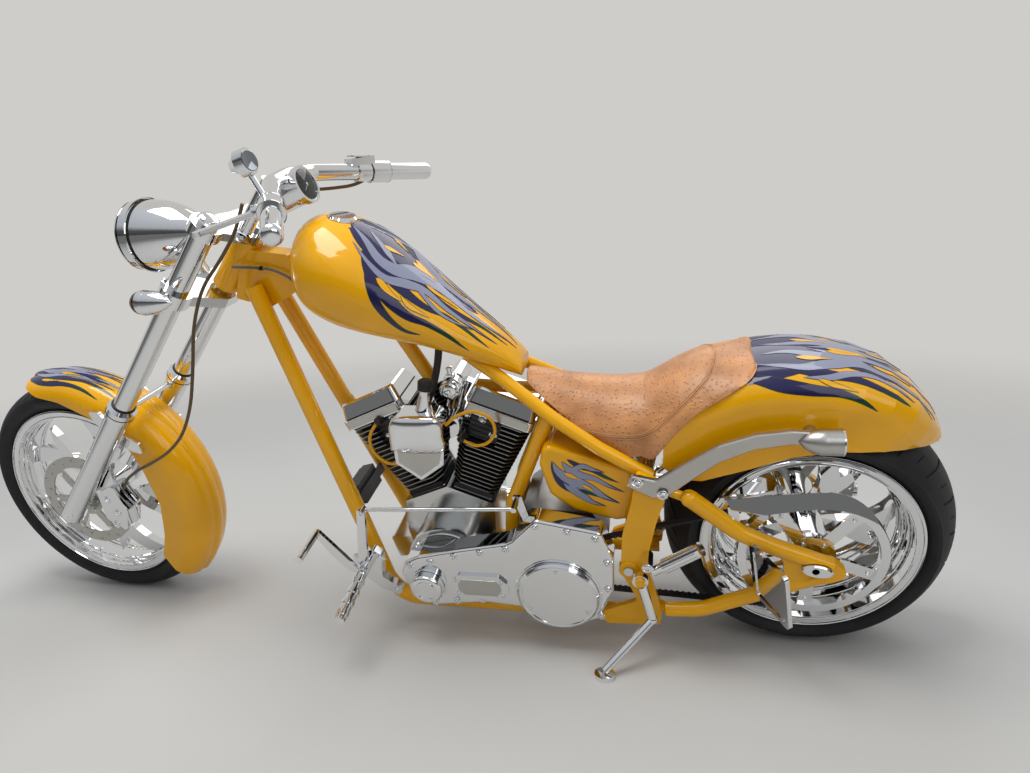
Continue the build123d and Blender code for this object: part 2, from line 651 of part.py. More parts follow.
def primary_cover():
    outline = [
        (-984, 262), (-970, 298), (-930, 318), (-836, 342), (-700, 372), (-682, 382), (-622, 446),
        (-470, 416),
        (-444, 340), (-446, 240), (-486, 150), (-545, 118), (-620, 122), (-672, 172), (-772, 180),
        (-905, 160),
        (-966, 190),
    ]
    cover = side_slab(outline, -206, -153, 14)
    cover = fillet(cover.faces().sort_by(Axis.Y)[0].edges(), 9)
    cap = drum(42, -234, -206, -915, 234)
    cap = fillet(cap.faces().sort_by(Axis.Y)[0].edges(), 9)
    window = side_slab([(-852, 250), (-830, 274), (-728, 274), (-706, 250), (-706, 222), (-728, 200),
                        (-830, 200),
                        (-852, 222)], -213, -206, 9)
    return cover + cap + window


def derby_cover():
    cover = drum(101, -220, -206, -582, 226)
    return chamfer(cover.faces().sort_by(Axis.Y)[0].edges(), 5)


def transmission():
    box = side_slab([(-686, 370), (-650, 398), (-500, 386), (-470, 330), (-480, 200), (-690, 185)], -92,
                    92, 16)
    box += drum(70, 92, 108, -570, 290)
    box += bar((DRIVE_PULLEY_X, -152, DRIVE_PULLEY_Z), (DRIVE_PULLEY_X, -90, DRIVE_PULLEY_Z), 22)
    pulley = drum(DRIVE_PULLEY_R, -BELT_Y - 10, -BELT_Y + 10, DRIVE_PULLEY_X, DRIVE_PULLEY_Z)
    return box + pulley


def drive_belt():
    """Flat belt round the two pulleys."""
    big = PULLEY_R + 1.2
    small = DRIVE_PULLEY_R + 1.2
    gap = math.hypot(DRIVE_PULLEY_X, REAR_TYRE_R - DRIVE_PULLEY_Z)
    slope = math.atan2(REAR_TYRE_R - DRIVE_PULLEY_Z, -DRIVE_PULLEY_X)
    spread = math.asin((big - small) / gap)

    def loop(grow):
        up = slope + math.pi / 2 + spread
        down = slope - math.pi / 2 - spread

        def on(x, z, r, angle):
            return (x + r * math.cos(angle), z + r * math.sin(angle))
        b = big + grow
        s = small + grow
        upper = (on(0, REAR_TYRE_R, b, up), on(DRIVE_PULLEY_X, DRIVE_PULLEY_Z, s, up))
        lower = (on(0, REAR_TYRE_R, b, down), on(DRIVE_PULLEY_X, DRIVE_PULLEY_Z, s, down))
        edges = [
            Line(upper[0], upper[1]),
            ThreePointArc(upper[1], on(DRIVE_PULLEY_X, DRIVE_PULLEY_Z, s, slope + math.pi), lower[1]),
            Line(lower[1], lower[0]),
            ThreePointArc(lower[0], on(0, REAR_TYRE_R, b, slope), upper[0]),
        ]
        return make_face(edges)
    ring = loop(5.0) - loop(0.0)
    plane = Plane((0, -BELT_Y + BELT_WIDE / 2, 0), x_dir=(1, 0, 0), z_dir=(0, -1, 0))
    return extrude(plane * ring, BELT_WIDE)


def belt_guard(arm):
    """Leaf-shaped blade outside the belt, leaned over it, its tail hooked, on a tab from the left arm."""
    edges = [
        ThreePointArc((-193, 6), (-90, 20), (11, 28)), ThreePointArc((11, 28), (82, 10), (120, -38)),
        ThreePointArc((120, -38), (62, -14), (-6, -9)), ThreePointArc((-6, -9), (-62, -17), (-117, -26)),
        Line((-117, -26), (-183, -17)), Line((-183, -17), (-193, 6)),
    ]
    outside = Plane((0, -162, 485), x_dir=(1, 0, 0), z_dir=(0, -0.906, 0.423))
    blade = extrude(outside * make_face(edges), 7)
    blade = chamfer(blade.faces().sort_by(Axis.Y)[0].edges(), 2)
    tab = side_slab([(-190, 478), (-166, 478), (-160, 405), (-184, 425)], -172, -164)
    return blade + (tab - arm)


def exhaust_pipes():
    front = tube([(-1056, 78, 566), (-1056, 192, 552), (-1030, 238, 330), (-900, 238, 192),
                  (70, 238, 192)], 25, 70)
    rear = tube([(-692, 78, 566), (-690, 192, 552), (-672, 238, 400), (-560, 238, 258), (130, 238, 258)],
                25, 70)
    return Compound(children=[front.solid(), rear.solid()])


def exhaust_tips():
    """Open tip in line with each pipe."""
    tips = []
    for x, z in ((70, 192), (130, 258)):
        place = Plane((x, 238, z), z_dir=(1, 0, 0))
        tips.append(place * extrude(Circle(27) - Circle(TIP_BORE_R), 50))
    return Compound(children=[tip.solid() for tip in tips])


def regulator(tubes):
    """Finned regulator on a strap between the downtubes."""
    block = Box(34, 108, 60)
    for k in range(5):
        block += Pos(-20, 0, -24 + 12 * k) * Box(14, 100, 4)
    strap = Pos(20, 0, 0) * Box(6, 166, 26)
    unit = Pos(-1140, 0, 390) * Rot(0, -15, 0) * (block + strap)
    return max((unit - tubes).solids(), key=lambda s: s.volume)


def left_foot_control():
    """Bracket on the left downtube with a foot peg and a gear lever."""
    bracket = side_slab([(-1120, 300), (-1060, 318), (-1038, 300), (-1050, 230), (-1000, 190), (-1012, 170),
                         (-1060, 190), (-1110, 240)], -186, -164, 8)
    peg = bar((-1089, -366, 250), (-1089, -184, 263), 14)
    for k in range(4):
        peg += bar((-1089, -352 + 34 * k, 251 + 2.4 * k), (-1089, -340 + 34 * k, 252 + 2.4 * k), 16.5)
    arm = side_slab([(-1100, 270), (-1072, 282), (-1046, 452), (-1066, 458)], -206, -196, 5)
    pivot = drum(16, -214, -184, -1085, 275)
    lever = side_slab([(-1100, 284), (-1086, 262), (-1120, 270), (-1158, 320), (-1196, 384), (-1180, 394),
                       (-1140, 340)], -216, -206, 4)
    toe = bar((-1188, -312, 384), (-1188, -206, 386), 10)
    rod = bar((-1056, -190, 448), (-672, -190, 466), 5)
    joints = bar((-1056, -206, 448), (-1056, -184, 448), 8) + bar((-672, -196, 466), (-672, -150, 466), 7)
    arm_rear = side_slab([(-684, 474), (-660, 474), (-640, 380), (-656, 380)], -152, -144, 4)
    clamp = bar((-1086, -166, 262), (-1086, -146, 262), 22)
    return bracket + peg + arm + pivot + lever + toe + rod + joints + arm_rear + clamp


def right_foot_control():
    """Bracket on the right downtube with a foot peg and the brake pedal."""
    bracket = side_slab([(-1120, 300), (-1060, 318), (-1038, 300), (-1050, 230), (-1000, 190), (-1012, 170),
                         (-1060, 190), (-1110, 240)], 164, 186, 8)
    peg = bar((-1089, 184, 263), (-1089, 366, 250), 14)
    pedal = side_slab([(-1100, 284), (-1086, 262), (-1130, 280), (-1176, 350), (-1160, 362)], 206, 216, 4)
    pad = bar((-1164, 206, 352), (-1164, 282, 352), 14)
    pivot = drum(16, 184, 214, -1085, 275)
    master = bar((-1050, 200, 240), (-980, 200, 200), 17)
    link = drum(8, 180, 202, -1010, 218)
    clamp = bar((-1086, 146, 262), (-1086, 166, 262), 22)
    return bracket + peg + pedal + pad + pivot + master + link + clamp


def passenger_pegs():
    """Folded passenger peg of each side."""
    start = Vector(-352, -208, 316)
    end = Vector(-240, -226, 408)
    run = (end - start).normalized()
    section = Circle(PASSENGER_PEG_R)
    for k in range(12):
        turn = math.radians(30 * k)
        section -= Pos(PASSENGER_PEG_R * math.cos(turn), PASSENGER_PEG_R * math.sin(turn)) * Circle(2.2)
    peg = bar(start, start + run * 34, 11)
    peg += Plane(start + run * 32, z_dir=run) * extrude(section, 96)
    peg += bar(start + run * 126, start + run * 136, PASSENGER_PEG_R)
    clevis = drum(13, -216, -PLATE_Y - PLATE_THICK / 2, -366, 330)
    return pair(peg + clevis)


def plate_holder(arm):
    """Upright side-mounted plate in a frame, hung from the left arm."""
    board = Plane((-99, -248, 328), x_dir=(0.48, -0.877, 0), z_dir=(-0.865, -0.473, -0.145))
    plate = board * extrude(fillet(Rectangle(114, 144).vertices(), 8), 4)
    rim = fillet(Rectangle(126, 156).vertices(), 12) - fillet(Rectangle(102, 132).vertices(), 6)
    frame = board * Pos(0, 0, -3) * extrude(rim, 10)
    tab = bar((-136, -180, 392), (-126, -207, 362), 9) - arm
    return plate + frame + tab


def rear_caliper(arm):
    body = side_slab([(-90, 430), (-50, 500), (30, 508), (70, 470), (30, 432), (-40, 420)], 104, 156, 12)
    middle = REAR_HUB_HALF + ROTOR_THICK / 2
    body -= drum(ROTOR_R + 6, middle - 8, middle + 8, 0, REAR_TYRE_R)
    hanger = side_slab([(-60, 440), (-10, 440), (30, 352), (-34, 352)], 139, 151, 4)
    lug = drum(8, 150, ARM_Y - 14, -16, 362)
    return body + hanger + (lug - arm)


# Steering

LEG_BOTTOM = -40.0
SLIDER_TOP = 447.0
TREE_LOW = 835.0
TREE_LOW_TOP = 873.0
TREE_HIGH = 1037.0
TREE_HIGH_TOP = 1066.0
LEG_TOP = 1078.0
BAR_R = 20.0
BAR_END_R = 12.5
GRIP_LONG = 126.0
GRIP_R = 21.0
DIAL_R = 37.0
BAR_END = (-971, 372, 1172)


def fork_leg(side):
    """Slider, collar and upper tube of one leg."""
    profile = [
        (0, LEG_BOTTOM), (27, LEG_BOTTOM), (31, LEG_BOTTOM + 8), (31, SLIDER_TOP - 34),
        (36, SLIDER_TOP - 30),
        (36, SLIDER_TOP), (26, SLIDER_TOP + 10), (26, LEG_TOP - 4), (22, LEG_TOP), (0, LEG_TOP),
    ]
    leg = lathe(Polyline(*profile, close=True).edges())
    leg = FORK * Pos(0, side * LEG_HALF_SPREAD, 0) * leg
    return leg - drum(AXLE_R + RUNNING_GAP, -200, 200, AXLE_FRONT.X, AXLE_FRONT.Z)


def front_axle():
    return drum(AXLE_R, -LEG_HALF_SPREAD - 30, LEG_HALF_SPREAD + 30, AXLE_FRONT.X, AXLE_FRONT.Z)


def tree(low, high, thick_r, stem):
    """Triple clamp: two rings round the legs and a waisted plate to the steering stem."""
    mid = (low + high) / 2
    clamp = Pos(0, 0, low) * extrude(Circle(thick_r), high - low)
    plate = extrude(fillet(make_face(Polyline(
        (-26, -LEG_HALF_SPREAD), (26, -LEG_HALF_SPREAD), (LEG_LEAD + 34, -26), (LEG_LEAD + 34, 26),
        (26, LEG_HALF_SPREAD), (-26, LEG_HALF_SPREAD), (LEG_LEAD - 62, 20), (LEG_LEAD - 62, -20),
        close=True)).vertices(), 9),
        high - low - 8)
    body = Pos(0, 0, low + 4) * plate
    for side in (-1, 1):
        body += Pos(0, side * LEG_HALF_SPREAD, 0) * clamp
    for side in (-1, 1):
        body -= Pos(0, side * LEG_HALF_SPREAD, mid) * Cylinder(26.05, high - low + 20)
    if stem:
        body += Pos(LEG_LEAD, 0, high - 8) * extrude(Circle(14.9), TREE_HIGH - high + 8)
    return FORK * body


def headlight(clamp):
    """Bullet headlight between the legs, on a post from the lower clamp."""
    profile = [
        (0, -1586), (74, -1586), (86, -1580), (88, -1560), (84, -1556),
    ]
    edges = [Line(profile[k], profile[k + 1]) for k in range(len(profile) - 1)]
    edges += [
        ThreePointArc((84, -1556), (72, -1470), (30, -1404)), Line((30, -1404), (0, -1396)),
        Line((0, -1396), (0, -1586)),
    ]
    shell = revolve(make_face(edges), Axis.Y)
    shell = Pos(0, 0, 1108) * (Rot(0, 0, -90) * shell)
    bracket = bar((-1450, 0, 1060), (-1432, 0, 1010), 12)
    return shell + (bracket - clamp)


def handlebar():
    """Pullback bar with two risers and a gauge pod."""
    x, y, z = BAR_END
    path = [(x, -y, z), (-1140, -84, 1220), (-1156, 0, 1224), (-1140, 84, 1220), (x, y, z)]
    shape = tube(path, BAR_R, 60)
    for side in (-1, 1):
        end = Vector(x, side * y, z)
        run = (Vector(-1140, side * 84, 1220) - end).normalized()
        shape -= bar(end - run * 10, end + run * GRIP_LONG, BAR_R + 5)
        shape += bar(end, end + run * (GRIP_LONG + 5), BAR_END_R)
    riser = FORK * Pos(LEG_LEAD, 44, TREE_HIGH_TOP) * extrude(Circle(18), 140)
    shape += riser + other_side(riser)
    pod_start = Vector(-1196, 0, 1176)
    pod_end = Vector(-1104, 0, 1206)
    facing = (pod_end - pod_start).normalized()
    shape += bar(pod_start, pod_end, 39) + bar(pod_end - facing * 14, pod_end, DIAL_R + 6)
    return shape - bar(pod_end - facing * 5, pod_end + facing, DIAL_R)


def hand_control(side):
    """Grip, lever perch and lever of one side; the left one also carries the mirror."""
    x, y, z = BAR_END
    end = Vector(x, side * y, z)
    inner = Vector(-1140, side * 84, 1220)
    run = (inner - end).normalized()
    grip = bar(end - run * 16, end + run * GRIP_LONG, GRIP_R)
    grip = fillet(grip.faces().sort_by(Axis.Y)[0 if side < 0 else -1].edges(), 15)
    housing = bar(end + run * 124, end + run * 172, 27)
    bored = bar(end - run * 0.5, end + run * (GRIP_LONG + 5), BAR_END_R + 0.02)
    sleeve = bored + bar(end + run * GRIP_LONG, end + run * 240, BAR_R + 0.02)
    lever_root = end + run * 150 + Vector(-38, 0, -4)
    perch = bar(end + run * 150, lever_root, 13)
    lever_tip = Vector(-1134 if side < 0 else -1118, side * 356, 1176)
    along = (lever_tip - lever_root).normalized()
    blade_plane = Plane((lever_root + lever_tip) * 0.5, x_dir=along,
                        z_dir=along.cross(Vector(0, 0, 1)).cross(along))
    lever = blade_plane * extrude(SlotOverall((lever_tip - lever_root).length + 18, 18), 4.5, both=True)
    shape = grip + housing + perch + lever
    if side > 0:
        tank_box = Plane(end + run * 196, x_dir=run, z_dir=(0, 0, 1)) * Pos(0, 0, 24) * Box(66, 34, 22)
        shape += tank_box + bar(end + run * 160, end + run * 214, 24)
    else:
        stem = bar(end + run * 160, Vector(-1098, -212, 1262), 6)
        glass = Plane((-1102, -212, 1280), z_dir=(0.96, 0.05, 0.25)) * extrude(Ellipse(26, 21), 12,
                                                                               both=True)
        back = Plane((-1110, -212, 1278), z_dir=(-0.96, -0.05, -0.25)) * extrude(Ellipse(26, 21), 26,
                                                                                 taper=32)
        shape += stem + glass + back
    return shape - sleeve


def throttle_cable(bars, control):
    """Cable from the right control, held under the bar, to the right riser."""
    route = [(-1062, 226, 1182), (-1084, 176, 1172), (-1122, 118, 1176), (-1164, 78, 1182),
             (-1206, 56, 1182)]
    cable = hose(route, 4.0)
    return max((cable - bars - control).solids(), key=lambda s: s.volume)


def front_signals(clamp):
    """Bullet lamp outboard of each leg, on a stub from the lower clamp."""
    tip = Vector(-1386, -188, 994)
    body = Plane(tip, z_dir=(-1, 0, 0)) * lathe([
        ThreePointArc((0, 0), (20, 28), (28, 64)), ThreePointArc((28, 64), (27, 86), (17, 102)),
        Line((17, 102), (0, 104)), Line((0, 104), (0, 0)),
    ])
    stub = bar((-1437, -148, 993), (-1437, -170, 993), 10)
    return pair(max((body + stub - clamp).solids(), key=lambda s: s.volume))


GUARD_R = 392.0
GUARD_HALF = 79.0


def front_fender():
    """Deep wraparound fender, cut to its side view."""
    shell = at_wheel(fender_shell(GUARD_R - 7, GUARD_HALF, 60, 3.5, 150), AXLE_FRONT)

    def on(radius, angle):
        a = math.radians(angle)
        return (AXLE_FRONT.X + radius * math.cos(a), AXLE_FRONT.Z + radius * math.sin(a))
    window = side_slab([
        on(420, 104), on(366, 102), on(340, 96), on(326, 84), on(306, 66), on(302, 46), on(272, 26),
        on(262, 0),
        on(262, -24), on(276, -41), on(330, -45), on(420, -45), on(430, -10), on(430, 30), on(430, 70),
    ], -90, 90, 8)
    shell = shell & window
    return max(shell.solids(), key=lambda s: s.volume)


def fender_brace(legs):
    """Arched brace over the fender and a bracket from each leg to the fender's skirt."""
    arch = FORK * tube([(0, -92, 402), (0, -66, 424), (0, 66, 424), (0, 92, 402)], 8, 22)
    bracket = FORK * side_slab([(-96, 322), (-70, 342), (0, 322), (66, 338), (90, 316), (60, 300),
                                (0, 292), (-66, 304)],
                               -90, -GUARD_HALF, 6)
    pieces = [arch, bracket, other_side(bracket)]
    return Compound(children=[max((piece - legs[0] - legs[1]).solids(),
                                  key=lambda s: s.volume) for piece in pieces])


def front_caliper(leg):
    centre = AXLE_FRONT

    def on(radius, angle):
        a = math.radians(angle)
        return (centre.X + radius * math.cos(a), centre.Z + radius * math.sin(a))
    body = side_slab([on(98, -22), on(166, -26), on(176, 0), on(170, 28), on(104, 30)], -112, -58, 10)
    middle = -FRONT_HUB_HALF - ROTOR_THICK / 2
    body -= drum(ROTOR_R + 6, middle - 8, middle + 8, centre.X, centre.Z)
    arm = side_slab([on(104, 28), on(165, 26), on(214, 44), on(196, 54), on(120, 48)], -100, -88, 6)
    return max(((body + arm) - leg).solids(), key=lambda s: s.volume)


def brake_hose():
    """Hose from the bars down to the front caliper."""
    route = [
        (-1190, -128, 1190), (-1222, -132, 1132), (-1276, -132, 1074), (-1346, -134, 1010),
        (-1394, -140, 920),
        (-1420, -150, 820), (-1452, -160, 720), (-1500, -162, 640), (-1572, -150, 580), (-1660, -130, 530),
        (-1735, -118, 494), (-1790, -110, 458), (-1822, -102, 420),
    ]
    return hose(route, 4.0)


def clutch_cable():
    """Cable clipped along the left of the neck, back under the tank."""
    route = [(-1322, -46, 1036), (-1275, -40, 1030), (-1228, -36, 1024), (-1180, -38, 1000),
             (-1150, -44, 950)]
    return hose(route, 3.5)


def breather_hose(fuel_tank, coil):
    """Hose from the tank's floor down behind the coil cover."""
    route = [(-840, -40, 850), (-852, -40, 785), (-872, -44, 722), (-898, -52, 668)]
    return max((hose(route, 9.0) - fuel_tank - coil).solids(), key=lambda s: s.volume)


def hose(route, radius):
    """Hose along a hand-placed route, with arcs as large as its runs allow."""
    points = [Vector(*p) for p in route]
    radii = []
    for a, b, c in zip(points, points[1:], points[2:]):
        first = b - a
        second = c - b
        turn = math.radians(first.get_angle(second))
        radii.append(0.45 * min(first.length, second.length) / math.tan(turn / 2))
    path = FilletPolyline(*points, radius=radii)
    print("hose radii", [round(r) for r in radii], "length", round(path.length))
    return sweep(Plane(path @ 0, z_dir=path % 0) * Circle(radius), path=path)


# Stand

def side_stand(ankle, pad):
    """Leg with a bent head block and a flat foot on the road."""
    x, y, z = STAND_PIVOT
    head = drum(19, y - STAND_HEAD_HALF, y + STAND_HEAD_HALF, x, z)
    upper = bar(STAND_PIVOT, STAND_KNEE, 12)
    knee = Pos(STAND_KNEE.X, STAND_KNEE.Y, STAND_KNEE.Z) * Sphere(13)
    leg = bar(STAND_KNEE, ankle, 10)
    stand = head + upper + knee + leg + pad
    stand -= drum(STAND_PIN_R + RUNNING_GAP, y - 20, y + 20, x, z)
    stand -= drum(13, y - 20, y - STAND_HEAD_HALF, x, z)
    return stand - drum(19.1, y + STAND_HEAD_HALF, y + 20, x, z)


# Placing

def lowest(centre, axis, radius, crown):
    """Height of the lowest point of a tyre with a round crown."""
    return centre.Z - (radius - crown) * math.sqrt(1 - axis.Z ** 2) - crown


STEM = FORK.location * Pos(LEG_LEAD, 0, 0)
TURN = STEM * Rot(0, 0, -STEER) * STEM.inverse()


def moved(point, location):
    """Where a location takes a point."""
    return (location * Pos(*point)).position


def tilt():
    """Lean and pitch that set both tyres on one flat road."""
    pitch = 0.0
    for step in range(4):
        place = Rot(LEAN, 0, 0) * Rot(0, pitch, 0)
        lows = []
        for axle, radius, crown, turn in (
            (AXLE_FRONT, FRONT_TYRE_R, FRONT_CROWN, TURN),
            (AXLE_REAR, REAR_TYRE_R, REAR_CROWN, Location())):
            centre = moved(axle, place * turn)
            side = moved(axle + Vector(0, 1, 0), place * turn) - centre
            lows.append(lowest(centre, side, radius, crown))
        pitch += math.degrees((lows[1] - lows[0]) / WHEELBASE)
    return place, lows[1]


TILT, ROAD = tilt()


def foot_pad():
    """Ankle and foot of the stand, the foot flat on the road once the machine leans."""
    centre = moved(STAND_FOOT, TILT)
    pad = Pos(centre.X, centre.Y, ROAD + 6) * Cylinder(24, 12)
    ankle = moved((centre.X, centre.Y, ROAD + 17), TILT.inverse())
    return ankle, TILT.inverse() * pad


def bodies():
    """Every node, drawn upright and straight, by the body that carries it."""
    backbone = frame_backbone()
    downtubes = frame_downtubes(backbone)
    rails = seat_rails(backbone)
    plates = side_plates()
    arms = swingarm(plates)
    coil = coil_cover()
    front_cylinder = cylinder(-1)
    rear_cylinder = cylinder(1)
    fuel_tank = tank(rails)
    chassis = {
        "frame_backbone": backbone,
        "frame_downtubes": downtubes,
        "seat_rails": rails,
        "side_plates": plates,
        "swingarm": arms,
        "swingarm_pivot": swingarm_pivot(),
        "rear_axle": rear_axle(),
        "tank": fuel_tank,
        "fuel_cap": tank_cap(),
        "oil_tank": oil_tank(),
        "seat": seat(),
        "rear_fender": rear_fender(),
        "fender_struts": fender_struts(),
        "crankcase": crankcase(),
        "cylinder_front": front_cylinder,
        "cylinder_rear": rear_cylinder,
        "rocker_box_front": rocker_box(-1),
        "rocker_box_rear": rocker_box(1),
        "coil_cover": coil,
        "plug_leads": plug_leads(coil, (front_cylinder, rear_cylinder)),
        "air_cleaner": air_cleaner(),
        "cam_cover": cam_cover(),
        "primary_cover": primary_cover(),
        "derby_cover": derby_cover(),
        "transmission": transmission(),
        "exhaust_pipes": exhaust_pipes(),
        "exhaust_tips": exhaust_tips(),
        "regulator": regulator(downtubes),
        "left_foot_control": left_foot_control(),
        "right_foot_control": right_foot_control(),
        "passenger_pegs": passenger_pegs(),
        "plate_holder": plate_holder(arms),
        "belt_guard": belt_guard(arms),
        "drive_belt": drive_belt(),
        "rear_caliper": rear_caliper(arms),
        "clutch_cable": clutch_cable(),
        "breather_hose": breather_hose(fuel_tank, coil),
    }
    left_leg = fork_leg(-1)
    right_leg = fork_leg(1)
    lower_clamp = tree(TREE_LOW, TREE_LOW_TOP, 38, True)
    bars = handlebar()
    right_control = hand_control(1)
    steering = {
        "fork_leg_left": left_leg,
        "fork_leg_right": right_leg,
        "front_axle": front_axle(),
        "lower_tree": lower_clamp,
        "upper_tree": tree(TREE_HIGH, TREE_HIGH_TOP, 37, False),
        "headlight": headlight(lower_clamp),
        "handlebar": bars,
        "left_hand_control": hand_control(-1),
        "right_hand_control": right_control,
        "throttle_cable": throttle_cable(bars, right_control),
        "front_signals": front_signals(lower_clamp),
        "front_fender": front_fender(),
        "fender_brace": fender_brace((left_leg, right_leg)),
        "front_caliper": front_caliper(left_leg),
        "brake_hose": brake_hose(),
    }
    return {
        "chassis": chassis,
        "steering": steering,
        "front_wheel": front_wheel_parts(),
        "rear_wheel": rear_wheel_parts(),
        "side_stand": {"side_stand": side_stand(*foot_pad())},
    }


def placed():
    """Every node in its parked place, the origin on the road under the middle of the whole."""
    groups = {}
    low = Vector(1e9, 1e9, 1e9)
    high = Vector(-1e9, -1e9, -1e9)
    for body, nodes in bodies().items():
        turn = TURN if body in ("steering", "front_wheel") else Location()
        groups[body] = {name: TILT * turn * shape for name, shape in nodes.items()}
        for shape in groups[body].values():
            box = shape.bounding_box()
            low = Vector(min(low.X, box.min.X), min(low.Y, box.min.Y), min(low.Z, box.min.Z))
            high = Vector(max(high.X, box.max.X), max(high.Y, box.max.Y), max(high.Z, box.max.Z))
    shift = Pos(-(low.X + high.X) / 2, -(low.Y + high.Y) / 2, -ROAD)
    print("size", [round(v, 1) for v in tuple(high - low)], "low", round(low.Z - ROAD, 2))
    for body, nodes in groups.items():
        for name in nodes:
            nodes[name] = shift * nodes[name]
    return groups, shift


GROUPS, SHIFT = placed()

os.makedirs("parts", exist_ok=True)
for nodes in GROUPS.values():
    for name, shape in nodes.items():
        export_step(shape, "parts/" + name + ".step")
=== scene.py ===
# A long-fork chopper motorcycle on its side stand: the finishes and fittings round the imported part.
import json
import math
from collections import defaultdict
from functools import partial

import bmesh
import bpy
import numpy as np
from mathutils import Matrix, Vector
from mathutils.bvhtree import BVHTree


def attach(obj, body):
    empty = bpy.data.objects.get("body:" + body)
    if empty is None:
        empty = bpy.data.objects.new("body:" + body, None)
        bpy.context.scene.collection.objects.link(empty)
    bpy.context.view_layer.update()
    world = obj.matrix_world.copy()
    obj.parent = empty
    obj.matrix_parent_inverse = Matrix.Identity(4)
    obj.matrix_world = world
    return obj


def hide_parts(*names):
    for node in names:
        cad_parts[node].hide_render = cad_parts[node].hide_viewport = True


bl_info = {
    "name": "Chopper motorcycle",
    "version": (1, 0, 0),
    "blender": (4, 5, 0),
    "location": "3D View > Sidebar > Chopper",
    "description": "Dresses a packed chopper motorcycle with its paint, chrome, leather and small fittings",
    "category": "Object",
}

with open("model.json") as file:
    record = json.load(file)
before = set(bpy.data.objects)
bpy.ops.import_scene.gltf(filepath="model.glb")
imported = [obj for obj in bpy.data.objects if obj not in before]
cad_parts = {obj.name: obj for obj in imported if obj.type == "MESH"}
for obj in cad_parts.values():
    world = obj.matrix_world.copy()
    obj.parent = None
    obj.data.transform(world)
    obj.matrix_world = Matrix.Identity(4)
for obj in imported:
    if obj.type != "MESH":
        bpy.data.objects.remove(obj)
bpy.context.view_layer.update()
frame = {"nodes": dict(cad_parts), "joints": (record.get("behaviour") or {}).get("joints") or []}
NODES = frame["nodes"]
MM = 0.001

# Places. The bike frame is the machine upright: x to the rear from the rear axle, y to the rider's
# right, z up from the road, in millimetres.
RAKE = math.radians(41.5)
WHEELBASE = 2003.0
FRONT_TYRE_R = 352.0
REAR_TYRE_R = 330.0
FRONT_AXLE = Vector((-WHEELBASE, 0, FRONT_TYRE_R))
REAR_AXLE = Vector((0, 0, REAR_TYRE_R))
UP_FORK = Vector((math.sin(RAKE), 0, math.cos(RAKE)))
# Half the distance between the fork's legs, and how far the steering stem is behind them
FORK_HALF = 118
STEM_BEHIND = 48
LEFT = Vector((0, -1, 0))
UP = Vector((0, 0, 1))


def joint(name):
    return next(j for j in frame["joints"] if j["name"] == name)


def body_frame(wheel, axle_x, radius):
    """Bike frame of the bodies that hold a wheel's axle: millimetres to metres in the row frame."""
    y = Vector(joint(wheel)["axis"]).normalized()
    up_fork = Vector(joint("steering_turn")["axis"]).normalized()
    square = y.cross(up_fork)
    x = (up_fork * math.sin(RAKE) + square * math.cos(RAKE)).normalized()
    z = (up_fork * math.cos(RAKE) - square * math.sin(RAKE)).normalized()
    road = Vector(joint(wheel)["pos_m"]) - (x * axle_x + z * radius) * MM
    turn = Matrix((x, y, z)).transposed().to_4x4()
    return Matrix.Translation(road) @ turn @ Matrix.Scale(MM, 4)


BIKE = body_frame("rear_wheel_spin", 0.0, REAR_TYRE_R)
STEERED = body_frame("front_wheel_spin", -WHEELBASE, FRONT_TYRE_R)
PLACE = {"chassis": BIKE, "rear_wheel": BIKE, "steering": STEERED, "front_wheel": STEERED}


# Sizes and colours that a user would change

def hex_colour(name, what, default):
    return bpy.props.StringProperty(name=name, description=what + ", sRGB hex", default=default)


class ChopperPaint(bpy.types.PropertyGroup):
    yellow: hex_colour("Yellow", "Body colour", "#F4B000")
    patch: hex_colour("Patch", "Dark ground of the licks", "#1E1A4A")
    silver: hex_colour("Silver", "Light licks", "#8C90A6")
    outline: hex_colour("Outline", "Thin outer licks", "#12402C")


class ChopperSeat(bpy.types.PropertyGroup):
    leather: hex_colour("Leather", "Tan leather", "#C48A58")
    quills: bpy.props.FloatProperty(name="Quill spacing", default=0.0085, min=0.005, max=0.05, unit="LENGTH",
                                    description="Distance between quills in the hide's pattern")


class ChopperStage(bpy.types.PropertyGroup):
    floor: hex_colour("Floor", "Floor colour", "#C4C2BD")
    backdrop: hex_colour("Backdrop", "Backdrop colour", "#CFCDC9")
    lamp_power: bpy.props.FloatProperty(name="Lamp power", default=78.0, min=0.0, max=2000.0,
                                        description="Power of the main soft lamp, in watts")


# Materials

def linear(code):
    """sRGB hex to linear RGBA."""
    parts = [int(code[i:i + 2], 16) / 255 for i in (1, 3, 5)]
    return tuple(c / 12.92 if c <= 0.04045 else ((c + 0.055) / 1.055) ** 2.4 for c in parts) + (1.0,)


MATERIALS = {}


def add(tree, kind, inputs=None, stops=None, **settings):
    """Add a node with its settings, its input values or links, and its colour stops."""
    made = tree.nodes.new("ShaderNode" + kind)
    for name, value in settings.items():
        setattr(made, name, value)
    for name, value in (inputs or {}).items():
        if isinstance(value, bpy.types.NodeSocket):
            tree.links.new(value, made.inputs[name])
        else:
            made.inputs[name].default_value = value
    if stops:
        elements = made.color_ramp.elements
        while len(elements) < len(stops):
            elements.new(0.5)
        for element, (position, colour) in zip(elements, stops):
            element.position = position
            element.color = colour
    return made


def feed(node, **links):
    """Link outputs to a node's inputs, by socket name with _ for space."""
    for name, output in links.items():
        node.id_data.links.new(output, node.inputs[name.replace("_", " ")])


